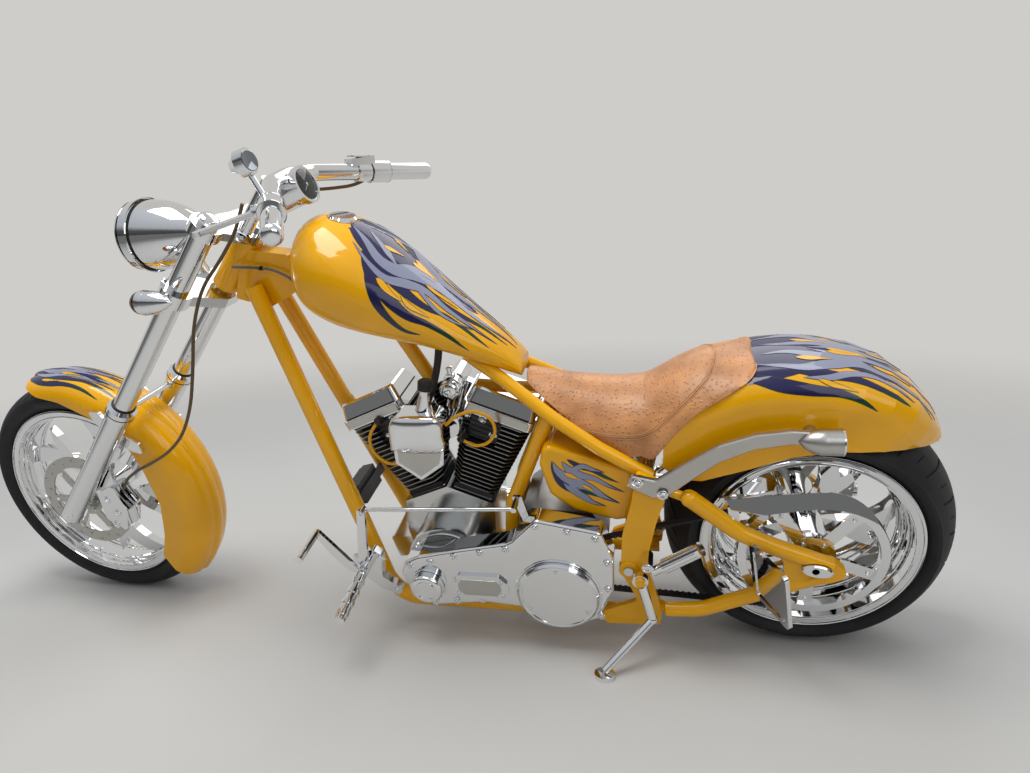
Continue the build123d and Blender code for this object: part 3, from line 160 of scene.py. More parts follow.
def new_material(name, **values):
    """Material with one Principled shader; values are its constants by socket name with _ for space."""
    made = bpy.data.materials.new(name)
    MATERIALS[name] = made
    made.use_nodes = True
    tree = made.node_tree
    tree.nodes.clear()
    shader = add(tree, "BsdfPrincipled", {k.replace("_", " "): v for k, v in values.items()})
    add(tree, "OutputMaterial", {0: shader.outputs[0]})
    return tree, shader


def object_place(tree):
    """Place in the object, in metres."""
    return add(tree, "TexCoord").outputs["Object"]


def noise(tree, at, scale, detail, **inputs):
    """Soft noise with so many waves per metre."""
    return add(tree, "TexNoise", {"Vector": at, "Scale": scale, "Detail": detail, **inputs}).outputs[0]


def ramp(tree, share, *stops):
    return add(tree, "ValToRGB", {"Fac": share}, stops=stops).outputs[0]


def bump(tree, height, strength, distance_mm, **inputs):
    return add(tree, "Bump", {"Height": height, "Strength": strength, "Distance": distance_mm * MM,
                              **inputs}).outputs[0]


def math_node(tree, operation, first, second):
    return add(tree, "Math", {0: first, 1: second}, operation=operation).outputs[0]


def step(tree, value, first, last, **inputs):
    """Soft step between two values."""
    ends = {"Value": value, "From Min": first, "From Max": last, **inputs}
    return add(tree, "MapRange", ends, interpolation_type="SMOOTHSTEP").outputs[0]


def mixed(tree, share, first, second):
    """Colour between two colours."""
    return add(tree, "Mix", {"Factor": share, "A": first, "B": second}, data_type="RGBA").outputs["Result"]


def grey(level):
    return (level, level, level, 1.0)


def tinted(colour, *shares):
    """Colour with each channel times its share, or all times one share."""
    return tuple(min(1.0, c * s) for c, s in zip(colour, shares * (3 // len(shares)))) + (1.0,)


def make_paint(name, code):
    """Two-stage urethane, polished: deep colour under a hard clear coat with faint orange peel."""
    tree, shader = new_material(name, Roughness=0.4, Specular_IOR_Level=0.08, Coat_Weight=0.85,
                                Coat_Roughness=0.03, Coat_IOR=1.5)
    at = object_place(tree)
    base = linear(code)
    # Orange peel is about 2 mm across, so its noise runs at 500 per metre.
    feed(shader, Base_Color=ramp(tree, noise(tree, at, 6.0, 2.0), (0.35, tinted(base, 0.9)), (0.65, base)),
         Coat_Normal=bump(tree, noise(tree, at, 500.0, 1.0), 0.04, 0.2))


def make_metal(name, code, rough, grain_mm=0.0, grain_strength=0.0, wave=0.03, stretch=(1.0, 1.0, 1.0)):
    """Metal with a little unevenness: long waves from polishing by hand or, if asked, a brushed grain."""
    tree, shader = new_material(name, Metallic=1.0, Base_Color=linear(code), Roughness=rough)
    at = object_place(tree)
    smears = add(tree, "MapRange", {"Value": noise(tree, at, 25.0, 3.0), "To Min": rough * 0.7,
                                    "To Max": rough * 1.6})
    if grain_mm:
        along = add(tree, "Mapping", {"Vector": at, "Scale": stretch}).outputs[0]
        normal = bump(tree, noise(tree, along, 1 / (grain_mm * MM), 2.0), grain_strength, 0.2)
    else:
        normal = bump(tree, noise(tree, at, 30.0, 1.0), wave, 1.0)
    feed(shader, Roughness=smears.outputs[0], Normal=normal)


def make_rubber(name, code, rough, grain_mm, strength):
    """Vulcanised rubber: dusty, with a fine moulded grain."""
    tree, shader = new_material(name, Roughness=rough, Specular_IOR_Level=0.35)
    at = object_place(tree)
    base = linear(code)
    dusty = tuple(c + 0.012 for c in base[:3]) + (1.0,)
    feed(shader,
         Base_Color=ramp(tree, noise(tree, at, 9.0, 6.0, Roughness=0.65), (0.4, base), (0.75, dusty)),
         Normal=bump(tree, noise(tree, at, 1 / (grain_mm * MM), 2.0), strength, 0.3))


def make_leather(name, code, spacing):
    """Vegetable-tanned ostrich hide: tan, waxed, with raised quill follicles, each with a dark pore."""
    tree, shader = new_material(name, Roughness=0.42, Specular_IOR_Level=0.45, Coat_Weight=0.15,
                                Coat_Roughness=0.3)
    at = object_place(tree)
    quills = add(tree, "TexVoronoi", {"Vector": at, "Scale": 1 / spacing, "Randomness": 0.8})
    reach = quills.outputs["Distance"]
    # The pattern is solid, so a pore shows only where its middle is near the surface.
    pore = add(tree, "MapRange", {"Value": reach, "From Min": 0.13, "From Max": 0.24}).outputs[0]
    mound = step(tree, reach, 0.1, 0.5, **{"To Min": 1.0, "To Max": 0.0})
    base = linear(code)
    tone = ramp(tree, noise(tree, at, 16.0, 5.0), (0.32, tinted(base, 0.72, 0.66, 0.6)),
                (0.68, tinted(base, 1.16, 1.14, 1.1)))
    # Hide grain is about 1.4 mm across.
    creases = add(tree, "TexVoronoi", {"Vector": at, "Scale": 700.0}, feature="DISTANCE_TO_EDGE")
    fine = bump(tree, creases.outputs[0], 0.15, 0.3)
    feed(shader, Base_Color=mixed(tree, pore, tinted(base, 0.3), tone),
         Normal=bump(tree, mound, 0.55, 1.2, Normal=fine))


def make_glass(name, code):
    """Moulded clear lens."""
    new_material(name, Base_Color=linear(code), Transmission_Weight=1.0, Roughness=0.02, IOR=1.49)


def make_enamel(name, code):
    """Baked engine enamel, with a fine grit in it."""
    tree, shader = new_material(name, Base_Color=linear(code), Roughness=0.38)
    feed(shader, Normal=bump(tree, noise(tree, object_place(tree), 900.0, 2.0), 0.25, 0.2))


def make_materials(scene):
    for tone in ("yellow", "patch", "silver", "outline"):
        make_paint("urethane " + tone, getattr(scene.chopper_paint, tone))
    make_metal("chrome plate", "#E6E7E8", 0.035)
    make_metal("polished aluminium", "#D6D6D4", 0.12, wave=0.05)
    make_metal("brushed aluminium", "#BDBBB6", 0.3, 0.5, 0.25, stretch=(0.05, 1.0, 1.0))
    make_metal("sand-cast aluminium", "#9A9A98", 0.32, 1.6, 0.3)
    make_metal("ground steel", "#B9B6B0", 0.3, 0.6, 0.25)
    make_metal("milled aluminium", "#8F8D88", 0.34, 0.8, 0.2)
    make_metal("tinted mirror", "#7C838B", 0.04)
    make_rubber("tyre rubber", "#17171A", 0.62, 1.2, 0.15)
    make_rubber("belt rubber", "#141416", 0.5, 0.9, 0.15)
    make_rubber("hose sleeve", "#2A211A", 0.45, 1.5, 0.2)
    make_rubber("braided brown sleeve", "#5C4A33", 0.4, 1.5, 0.25)
    make_rubber("braided grey sleeve", "#6B6863", 0.4, 1.5, 0.25)
    make_rubber("dial black", "#101216", 0.35, 1.0, 0.05)
    make_rubber("silicone lead", "#E0A008", 0.35, 1.5, 0.1)
    make_rubber("waxed thread", "#C99E6E", 0.5, 0.8, 0.3)
    make_leather("ostrich leather", scene.chopper_seat.leather, scene.chopper_seat.quills)
    make_glass("clear lens", "#F4F6F6")
    make_glass("amber lens", "#E8650C")
    make_glass("red lens", "#B81408")
    make_enamel("black engine enamel", "#17171A")


NODE_FINISH = {
    "urethane yellow": ["frame_backbone", "frame_downtubes", "seat_rails", "side_plates", "swingarm",
                        "tank", "oil_tank", "rear_fender", "front_fender"],
    "polished aluminium": ["swingarm_pivot", "crankcase"],
    "brushed aluminium": ["fender_struts"],
    "sand-cast aluminium": ["transmission"],
    "black engine enamel": ["cylinder_front", "cylinder_rear", "regulator"],
    "tyre rubber": ["front_tyre", "rear_tyre"],
    "belt rubber": ["drive_belt"],
    "hose sleeve": ["breather_hose"],
    "braided brown sleeve": ["brake_hose", "throttle_cable"],
    "braided grey sleeve": ["clutch_cable"],
    "silicone lead": ["plug_leads"],
    "ground steel": ["front_rotor", "rear_rotor"],
    "ostrich leather": ["seat"],
}


# Mesh helpers

def set_smooth(mesh, angle_deg):
    """Round shading, with sharp edges above an angle."""
    mesh.polygons.foreach_set("use_smooth", [True] * len(mesh.polygons))
    bm = bmesh.new()
    bm.from_mesh(mesh)
    for edge in bm.edges:
        edge.smooth = len(edge.link_faces) != 2 or edge.calc_face_angle(0.0) < math.radians(angle_deg)
    bm.to_mesh(mesh)
    bm.free()


def new_object(name, data):
    made = bpy.data.objects.new(name, data)
    bpy.context.scene.collection.objects.link(made)
    return made


def mesh_object(name, bm, place=None):
    """Object from a bmesh; where a place is given it is moved there and its faces turned outward."""
    if place:
        bmesh.ops.transform(bm, matrix=place, verts=bm.verts)
        bmesh.ops.recalc_face_normals(bm, faces=bm.faces)
    mesh = bpy.data.meshes.new(name)
    bm.to_mesh(mesh)
    bm.free()
    return new_object(name, mesh)


def new_piece(name, bm, finish="chrome plate", body="chassis", sharp=35.0):
    """Object from a bmesh in millimetres of the bike frame, riding on a body."""
    made = mesh_object(name, bm, PLACE[body])
    made.data.materials.append(MATERIALS[finish])
    set_smooth(made.data, sharp)
    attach(made, body)
    return made


def skin(bm, rows, closed=True):
    """Faces between rows of vertices, which run round if closed; a row of one vertex makes a tip."""
    for low, high in zip(rows, rows[1:]):
        count = max(len(low), len(high))
        for k in range(count if closed else count - 1):
            corners = [row[n % len(row)] for row, n in ((low, k), (low, k + 1), (high, k + 1), (high, k))]
            unique = list(dict.fromkeys(corners))
            if len(unique) > 2:
                bm.faces.new(unique)


def circle(steps):
    return [2 * math.pi * k / steps for k in range(steps)]


def spoke(angle):
    """Direction in the side view, by its angle from the rear upward."""
    return Vector((math.cos(angle), 0, math.sin(angle)))


def axis_turn(axis):
    """Rotation that takes +z to an axis."""
    return Vector(axis).normalized().to_track_quat("Z", "Y").to_matrix().to_4x4()


def add_lathe(bm, profile, origin, axis, steps=32):
    """Turned shape from (radius, height) points about an axis; points at radius 0 close it."""
    place = Matrix.Translation(origin) @ axis_turn(axis)
    rows = []
    for radius, height in profile:
        rows.append([bm.verts.new(place @ Vector((radius * math.cos(a), radius * math.sin(a), height)))
                     for a in circle(steps if radius else 1)])
    skin(bm, rows)


def add_screw(bm, origin, axis, radius=6.0, height=5.0):
    """Socket-head screw with a rounded rim and a hexagonal recess."""
    socket = radius * 0.5
    add_lathe(bm, [(radius, -2.0), (radius, height * 0.8), (radius * 0.86, height), (socket, height)],
              origin, axis, 24)
    add_lathe(bm, [(socket, height), (socket, height * 0.35), (0, height * 0.3)], origin, axis, 6)


class CHOPPER_OT_finishes(bpy.types.Operator):
    """Make the materials and give each node of the part its own."""
    bl_idname = "chopper.finishes"
    bl_label = "Finishes"

    def execute(self, context):
        make_materials(context.scene)
        by_node = {name: finish for finish, names in NODE_FINISH.items() for name in names}
        for name, thing in NODES.items():
            thing.data.materials.clear()
            thing.data.materials.append(MATERIALS[by_node.get(name, "chrome plate")])
        return {"FINISHED"}


class Surface:
    """The faces of one node, found by straight rays in millimetres of its body's frame."""

    def __init__(self, thing, body):
        self.place = PLACE[body]
        self.back = self.place.inverted()
        mesh = thing.data
        self.tree = BVHTree.FromPolygons([v.co for v in mesh.vertices], [p.vertices for p in mesh.polygons])

    def hit(self, origin, direction):
        """Point and outward normal where a ray first meets the surface, or None."""
        along = (self.place.to_3x3() @ Vector(direction)).normalized()
        point, normal, _, _ = self.tree.ray_cast(self.place @ Vector(origin), along)
        if point is None:
            return None
        outward = (self.back.to_3x3() @ normal).normalized()
        return self.back @ point, -outward if outward.dot(Vector(direction)) > 0 else outward


def smooth_line(points, steps):
    """Rows on a smooth curve through the given rows of numbers, with so many from each to the next."""
    rows = np.array(points, dtype=float)
    ends = np.vstack([2 * rows[0] - rows[1], rows, 2 * rows[-1] - rows[-2]])
    line = []
    for a, b, c, d in zip(ends, ends[1:], ends[2:], ends[3:]):
        for t in np.arange(steps) / steps:
            curve = 2 * b + (c - a) * t + (2 * a - 5 * b + 4 * c - d) * t ** 2
            line.append((curve + (3 * b - a - 3 * c + d) * t ** 3) / 2)
    return line + [rows[-1]]


# Paint

# In millimetres: how deep a film's long edges go into the surface, the least half width of a film, how
# far off the surface is looked for, and about how far apart a film's points are across it
FILM_TURNED_IN = -0.3
SMALLEST_HALF = 0.15
PROBE = 30
FILM_STEP = 5


def add_film(bm, surface, ray, points, lift, across):
    """Thin film of paint along (u, v, half width) points, its long edges turned down into the surface."""
    line = smooth_line(points, 3)
    spots = [surface.hit(*ray(u, v)) for u, v, _ in line]
    if None in spots:
        raise RuntimeError("a lick's middle line leaves its surface at " + str(line[spots.index(None)]))
    rows = []
    for k, ((_, _, half), (place, normal)) in enumerate(zip(line, spots)):
        run = spots[min(k + 1, len(spots) - 1)][0] - spots[max(k - 1, 0)][0]
        side = normal.cross(run).normalized()
        row = []
        kept = (place, normal)
        for j in range(-across - 1, across + 2):
            shift = max(-1.0, min(1.0, j / across)) * max(half, SMALLEST_HALF)
            found = surface.hit(place + side * shift + normal * PROBE, -normal)
            if found and (found[0] - place).length < 1.5 * abs(shift) + 4:
                kept = found
            row.append(bm.verts.new(kept[0] + kept[1] * (lift if abs(j) <= across else FILM_TURNED_IN)))
        rows.append(row)
    skin(bm, rows, closed=False)


def tank_ray(u, v):
    """u is the share of the tank's length from its front, v the degrees down from its top to the left."""
    centre = Vector((-1150, 0, 1020)).lerp(Vector((-652, 0, 760)), u)
    turn = math.radians(v)
    out = Vector((0, -math.sin(turn), math.cos(turn)))
    return centre + out * 400, -out


def round_ray(middle, reach, u, v):
    """u is the angle about a fender's centre, v the degrees down from its crown to the left."""
    angle, turn = math.radians(u), math.radians(v)
    out = spoke(angle) * math.cos(turn) - Vector((0, math.sin(turn), 0))
    return Vector(middle) + spoke(angle) * reach + out * 240, -out


def oil_tank_ray(u, v):
    """u and v are x and z in the side view; a negative z is on the right side."""
    side = -1 if v > 0 else 1
    return (u, side * 300, abs(v)), (0, -side, 0)


# Films of each kind of lick, from the lowest up: finish, lift, extra half width, share of its length
LICK_FILMS = {
    "patch": [("urethane patch", 0.25, 0.0, 1.0)],
    "tongue": [("urethane outline", 0.42, 1.7, 1.0), ("urethane patch", 0.58, 0.0, 0.82)],
    "silver": [("urethane patch", 0.74, 1.2, 1.0), ("urethane silver", 0.9, 0.0, 0.98)],
    "island": [("urethane outline", 1.06, 1.3, 1.0), ("urethane yellow", 1.2, 0.0, 1.0)],
}

# Half width of a lick's tip, in millimetres
TIP = 0.3
# Licks of each painted node: kind, then u, v and half width in mm along its middle line; a point
# without a half width is a tip
LICKS = {
    "tank": [
        ("patch", [(0.262, 0, 2), (0.27, 0, 22), (0.285, 0, 38), (0.31, 0, 54), (0.345, 0, 70),
                   (0.39, 0, 82), (0.46, 0, 84), (0.54, 0, 66), (0.63, 0, 40), (0.72, 0, 20),
                   (0.8, 0, 2)]),
        ("tongue", [(0.37, 22, 2), (0.39, 33, 13), (0.43, 47, 17), (0.49, 59, 13), (0.56, 66, 8),
                    (0.63, 66, 5), (0.71, 70, 3), (0.79, 80)]),
        ("tongue", [(0.42, 26, 16), (0.49, 40, 15), (0.56, 47, 10), (0.63, 50, 6), (0.7, 48, 4.5),
                    (0.78, 53, 3), (0.87, 64)]),
        ("tongue", [(0.52, 18, 14), (0.6, 28, 11), (0.67, 33, 8), (0.75, 33, 6), (0.84, 30, 3),
                    (0.94, 36)]),
        ("tongue", [(0.39, 34, 2), (0.41, 50, 8), (0.44, 66, 8), (0.49, 77, 5), (0.54, 82, 3), (0.6, 80)]),
        ("silver", [(0.29, 9), (0.36, 18, 7), (0.43, 29, 12), (0.5, 29, 16), (0.57, 20, 13), (0.65, 12, 9),
                    (0.75, 14, 7), (0.86, 19, 4), (0.97, 17)]),
        ("silver", [(0.32, 26), (0.4, 38, 5), (0.47, 43, 9), (0.54, 37, 12), (0.61, 31, 9), (0.69, 37, 6),
                    (0.78, 42, 4), (0.9, 50)]),
        ("silver", [(0.49, 27, 7), (0.55, 12, 10), (0.62, 4, 8), (0.7, 7, 5), (0.79, 4)]),
        ("silver", [(0.35, 3), (0.4, 10, 5), (0.45, 17, 8), (0.51, 27, 6)]),
        ("silver", [(0.58, 34, 5), (0.66, 47, 4.5), (0.73, 50, 2.5), (0.8, 47)]),
        ("island", [(0.425, 11), (0.435, 11, 5), (0.452, 10, 6.5), (0.475, 8, 3), (0.5, 6)]),
        ("island", [(0.435, 47), (0.45, 48, 6), (0.472, 51, 7), (0.5, 54, 3.5), (0.535, 56)]),
        ("island", [(0.53, 4), (0.54, 4, 6), (0.56, 3, 8), (0.59, 1.5, 4), (0.63, 1)]),
        ("island", [(0.53, 51), (0.545, 54, 4), (0.57, 57, 5), (0.6, 58, 2.5), (0.64, 59)]),
        ("island", [(0.6, 22), (0.615, 22.5, 4), (0.64, 23, 5), (0.68, 23, 3), (0.73, 24)]),
    ],
    "rear_fender": [
        ("patch", [(103, 0, 118), (96, 0, 116), (89, 0, 104), (81, 0, 78), (73, 0, 48), (66, 0, 22),
                   (59, 0, 1)]),
        ("tongue", [(101, 50, 10), (94, 58, 14), (86, 62, 11), (78, 62, 7), (72, 64, 4), (66, 68)]),
        ("tongue", [(91, 40, 16), (83, 46, 14), (75, 47, 9), (68, 49, 6), (62, 51, 4), (57, 52)]),
        ("tongue", [(80, 24, 12), (72, 30, 10), (64, 32, 7), (56, 36, 4), (47, 44)]),
        ("silver", [(100, 32), (94, 37, 6), (87, 40, 12), (80, 32, 16), (73, 24, 12), (65, 28, 8),
                    (56, 34, 5), (45, 38)]),
        ("silver", [(98, 14), (91, 11, 7), (83, 17, 13), (76, 14, 12), (68, 8, 9), (59, 11, 6),
                    (51, 16, 3), (43, 15)]),
        ("silver", [(88, 52), (81, 50, 7), (75, 42, 9), (68, 38, 7), (62, 42, 4), (56, 46)]),
        ("silver", [(85, 2), (79, 8, 6), (73, 16, 8), (67, 24, 6)]),
        ("island", [(89, 24), (87.5, 24, 6), (85, 24, 8), (81.5, 23, 3), (79, 22)]),
        ("island", [(84, 53), (82.5, 54, 4), (80, 56, 5), (77, 57, 3), (73, 58)]),
        ("island", [(80, 4), (78.5, 4, 6), (76, 3, 8), (72, 2, 4), (68, 1)]),
        ("island", [(68, 17), (66.5, 18, 5), (64, 19, 6), (60, 20, 3), (56, 21)]),
    ],
    "front_fender": [
        ("patch", [(102.5, 0, 34), (99, 0, 50), (95, 0, 52), (90, 0, 40), (85, 0, 22), (79, 0, 1)]),
        ("tongue", [(100, 36, 6), (94, 46, 9), (88, 50, 7), (81, 48, 5), (73, 50, 3), (64, 58)]),
        ("tongue", [(95, 22, 10), (89, 30, 9), (82, 32, 6), (74, 29, 4), (65, 33, 2.5), (55, 40)]),
        ("tongue", [(88, 6, 9), (81, 12, 7), (73, 13, 5), (64, 10, 3), (54, 12)]),
        ("silver", [(101.5, 12), (98, 20, 5), (93, 26, 8), (87, 20, 8), (80, 17, 5), (71, 20, 3),
                    (61, 22)]),
        ("silver", [(100, 2), (96, 7, 5), (91, 12, 8), (85, 7, 6), (78, 4, 4), (69, 6)]),
        ("island", [(94, 40), (93, 41, 3), (91, 42, 4), (88, 42, 2), (85, 42)]),
        ("island", [(87.5, 13), (86.5, 13.5, 3), (84.5, 14, 4), (81.5, 14, 2), (78, 14)]),
    ],
    "oil_tank": [
        ("tongue", [(-584, 560), (-580, 534, 5), (-566, 500, 8), (-536, 478, 7), (-504, 474, 4),
                    (-470, 460)]),
        ("tongue", [(-548, 566), (-536, 558, 4), (-520, 548, 6), (-490, 538, 5), (-462, 520, 3),
                    (-430, 504)]),
        ("silver", [(-582, 560), (-572, 534, 8), (-550, 514, 13), (-522, 500, 13), (-494, 486, 9),
                    (-466, 464, 6), (-430, 446)]),
        ("silver", [(-560, 560), (-552, 547, 6), (-540, 534, 10), (-516, 522, 9), (-486, 514, 6),
                    (-456, 496, 4), (-418, 478)]),
        ("silver", [(-560, 500), (-546, 484, 6), (-522, 466, 7), (-496, 448, 5), (-462, 436)]),
        ("silver", [(-534, 540, 5), (-512, 548, 6), (-490, 540, 4), (-462, 532)]),
        ("silver", [(-546, 506, 6), (-530, 478, 6), (-506, 462, 3), (-484, 440)]),
        ("island", [(-556, 528), (-550, 525, 4.5), (-540, 520, 5), (-528, 514, 2), (-518, 510)]),
        ("island", [(-516, 496), (-510, 492, 3.5), (-500, 486, 3.5), (-488, 478)]),
    ],
}
LICK_RAYS = {"tank": tank_ray, "rear_fender": partial(round_ray, (-60, 0, 350), 330),
             "front_fender": partial(round_ray, FRONT_AXLE, 325), "oil_tank": oil_tank_ray}
# Lift added from one lick of a node to the next, so that no two films lie in one plane
LICK_STEP = 0.012


class CHOPPER_OT_licks(bpy.types.Operator):
    """Paint the licks on the tank, both fenders and the oil tank."""
    bl_idname = "chopper.licks"
    bl_label = "Painted licks"

    def execute(self, context):
        for node, licks in LICKS.items():
            body = "steering" if node == "front_fender" else "chassis"
            surface = Surface(NODES[node], body)
            meshes = defaultdict(bmesh.new)
            for number, (kind, points) in enumerate(licks):
                sides = (1,) if all(v == 0 for _, v, *_ in points) else (1, -1)
                for side in sides:
                    mirrored = [(u, v * side, *(half or [TIP])) for u, v, *half in points]
                    for finish, lift, extra, share in LICK_FILMS[kind]:
                        self.add_lick(meshes[kind, finish], surface, LICK_RAYS[node], mirrored,
                                      lift + LICK_STEP * number, extra, share)
            for (kind, finish), bm in meshes.items():
                name = "_".join((node, kind, finish.split()[1]))
                new_piece(name, bm, finish, body)
        return {"FINISHED"}

    def add_lick(self, bm, surface, ray, points, lift, extra, share):
        """One film of a lick: wider than its line by extra, and cut to a share of its length."""
        line = smooth_line(points, 4)
        line = line[:max(3, round(len(line) * share))]
        widest = max(half for _, _, half in line) + extra
        last = len(line) - 1
        wider = []
        for k, (u, v, half) in enumerate(line):
            taper = 1.0 if share == 1.0 else min(1.0, (last - k) / 4)
            wider.append((u, v, max((half + extra * min(1.0, half / 2)) * taper, SMALLEST_HALF)))
        add_film(bm, surface, ray, wider, lift, max(2, round(widest / FILM_STEP)))


# Tyres

TREAD_DEPTH = 3.5
# Grooves: first and last share of the half tread, and which of the two groove places in a pitch it takes
# on the left and on the right
GROOVES = [(0.12, 0.86, (0, 1)), (0.50, 0.80, (1, 0))]
# Shares of the half tread at which the tread has a row, two close together at a groove's end
GROOVE_ROWS = [0.0, 0.07, 0.12, 0.127, 0.31, 0.493, 0.50, 0.65, 0.80, 0.807, 0.853, 0.86, 0.93, 1.0]
WALL_STEPS = 16
WALL_RINGS = (3, 4, 12, 13)
# How far a groove sweeps round from the middle of the tread to its shoulder, in radians, and its curve
SWEEP, SWEEP_POWER = 0.17, 1.4


def add_tyre(bm, outer, half, crown, lip, rim_half, pitches, groove, middle):
    """Tyre with swept grooves cut in its tread and two moulded rings on each sidewall."""
    shoulder_y = half * 0.94
    spread = math.asin(shoulder_y / crown)
    shoulder = Vector((outer - crown + crown * math.cos(spread), shoulder_y))
    neck = Vector((lip + 1.5, rim_half - 7.0))
    belly = Vector(((lip + shoulder.x) / 2 + 3.0, half))
    wall = []
    for k in range(WALL_STEPS + 1):
        t = k / WALL_STEPS
        # Parabola through bead, belly and shoulder, close to the moulded sidewall's arc
        point = neck * (1 - t) * (1 - 2 * t) + belly * 4 * t * (1 - t) + shoulder * t * (2 * t - 1)
        raised = 0.9 if k in WALL_RINGS else 0.0
        wall.append((point.x, point.y - 1.0 + raised, 0.0))
    tread = []
    for t in GROOVE_ROWS[::-1]:
        angle = spread * t
        tread.append((outer - crown + crown * math.cos(angle), crown * math.sin(angle), t))
    bead = [(lip - 14, rim_half - 9, 0.0)]
    one_side = bead + wall[:-1] + tread
    rows = [(r, -y, -t) for r, y, t in one_side] + [(r, y, t) for r, y, t in one_side[:-1][::-1]]
    shares = [0.0, 0.012, groove - 0.012, groove, 0.3]
    columns = [(k + s + offset) / pitches for k in range(pitches) for offset in (0.0, 0.5) for s in shares]
    grid = []
    for radius, y, t in rows:
        ring = []
        for number, column in enumerate(columns):
            place_in_pitch, share_number = divmod(number % (2 * len(shares)), len(shares))
            reach = radius
            for first, last, places in GROOVES:
                cut = first < abs(t) < last and places[0 if t < 0 else 1] == place_in_pitch
                if cut and share_number in (1, 2):
                    reach = radius - TREAD_DEPTH
            angle = 2 * math.pi * column + SWEEP * abs(t) ** SWEEP_POWER
            ring.append(bm.verts.new((middle[0] + reach * math.cos(angle), y,
                                      middle[1] + reach * math.sin(angle))))
        grid.append(ring)
    skin(bm, grid)


# Node, body, radius, half width, crown radius, lip radius, half width of the rim, pitches, share of a
# pitch that a groove takes, axle
TYRES = [
    ("front_tyre", "front_wheel", 352.0, 61.5, 75.0, 283.0, 51.0, 26, 0.075, (-WHEELBASE, FRONT_TYRE_R)),
    ("rear_tyre", "rear_wheel", 330.0, 124.0, 160.0, 246.0, 112.0, 22, 0.095, (0.0, REAR_TYRE_R)),
]


class CHOPPER_OT_tyres(bpy.types.Operator):
    """Mould both tyres with their tread."""
    bl_idname = "chopper.tyres"
    bl_label = "Tyres"

    def execute(self, context):
        for node, body, *sizes in TYRES:
            bm = bmesh.new()
            add_tyre(bm, *sizes)
            piece = new_piece(node + "_treaded", bm, "tyre rubber", body, sharp=28.0)
            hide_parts(node)
        return {"FINISHED"}


# Seat

# In millimetres: how far the cover is drawn in before it is pressed out, how far a point may end from
# where it started, and how far the cover and the pan stand off the fender
SEAT_SHRINK = 3.0
SEAT_CAP = 8.0
COVER_LIFT = 7.0
PAN_LIFT = 0.8
# A face that looks down by more than this is held to the pan
HELD_DOWN = 0.25
CLOTH = {"quality": 5, "mass": 0.3, "tension_stiffness": 15, "compression_stiffness": 15,
         "bending_stiffness": 0.5, "use_pressure": True, "uniform_pressure_force": 4.0,
         "vertex_group_mass": "held"}
# Points of a section's bottom, its side and its top, from the middle out and back
FLAT, SIDE, CROWN = 5, 10, 12
# Seat sections: x, lowest z, z of the widest place, z of the top, half width there, half width at the bottom
SEAT_ROWS = [
    (-646, 726, 734, 748, 44, 38), (-590, 684, 694, 733, 80, 62), (-520, 624, 652, 719, 106, 86),
    (-440, 566, 630, 709, 129, 114), (-385, 550, 634, 709, 137, 130), (-353, 560, 646, 718, 141, 143),
    (-322, 606, 668, 736, 142, 144), (-290, 655, 692, 756, 141, 143), (-253, 692, 716, 772, 138, 139),
    (-214, 718, 738, 778, 133, 133), (-176, 742, 756, 781, 123, 123), (-148, 759, 767, 782, 108, 108),
    (-134, 768, 772, 780, 86, 84),
]
SEAT_STEPS = 6
# The fender that the seat's rear lies on: middle x and z, outer radius, half width, radius of its shoulders
FENDER = (-60.0, 350.0, 430.5, 142.5, 62.0)
# Seam of the seat's top on the left, from the front to the middle of the hump
SEAM = [(-545, -88, 668), (-530, -102, 648), (-506, -111, 633), (-464, -123, 628), (-428, -131, 629),
        (-402, -135, 631), (-380, -138, 636), (-358, -138, 648), (-336, -135, 667), (-314, -131, 688),
        (-291, -124, 708), (-270, -115, 727), (-252, -104, 744), (-238, -91, 756), (-229, -75, 764),
        (-222, -53, 771), (-217, -26, 777)]
SEAM_TOP = (-215, 0, 778)


def fender_top(x, y):
    """Height of the fender's outer face over a point, or a very low value beside it."""
    centre, foot, radius, half, shoulder = FENDER
    beyond = abs(y) - (half - shoulder)
    if beyond > shoulder:
        return -1000.0
    if beyond > 0:
        radius += math.sqrt(shoulder ** 2 - beyond ** 2) - shoulder
    inside = radius ** 2 - (x - centre) ** 2
    return foot + math.sqrt(inside) if inside > 0 else -1000.0


def seat_section(low, widest, top, half, foot):
    """Right half of a section from the middle of its bottom to the middle of its top, as (y, z)."""
    points = [(foot * k / FLAT, low) for k in range(FLAT)]
    ends = ((foot, (foot + half) / 2 + 4, half), (low, (low + widest) / 2, widest))
    for k in range(SIDE):
        t = k / SIDE
        shares = ((1 - t) * (1 - 2 * t), 4 * t * (1 - t), t * (2 * t - 1))
        points.append(tuple(sum(s * p for s, p in zip(shares, axis)) for axis in ends))
    rise = top - widest
    radius = (half ** 2 + rise ** 2) / (2 * rise)
    for k in range(CROWN + 1):
        y = half * (1 - k / CROWN)
        points.append((y, top - radius + math.sqrt(radius ** 2 - y ** 2)))
    return points


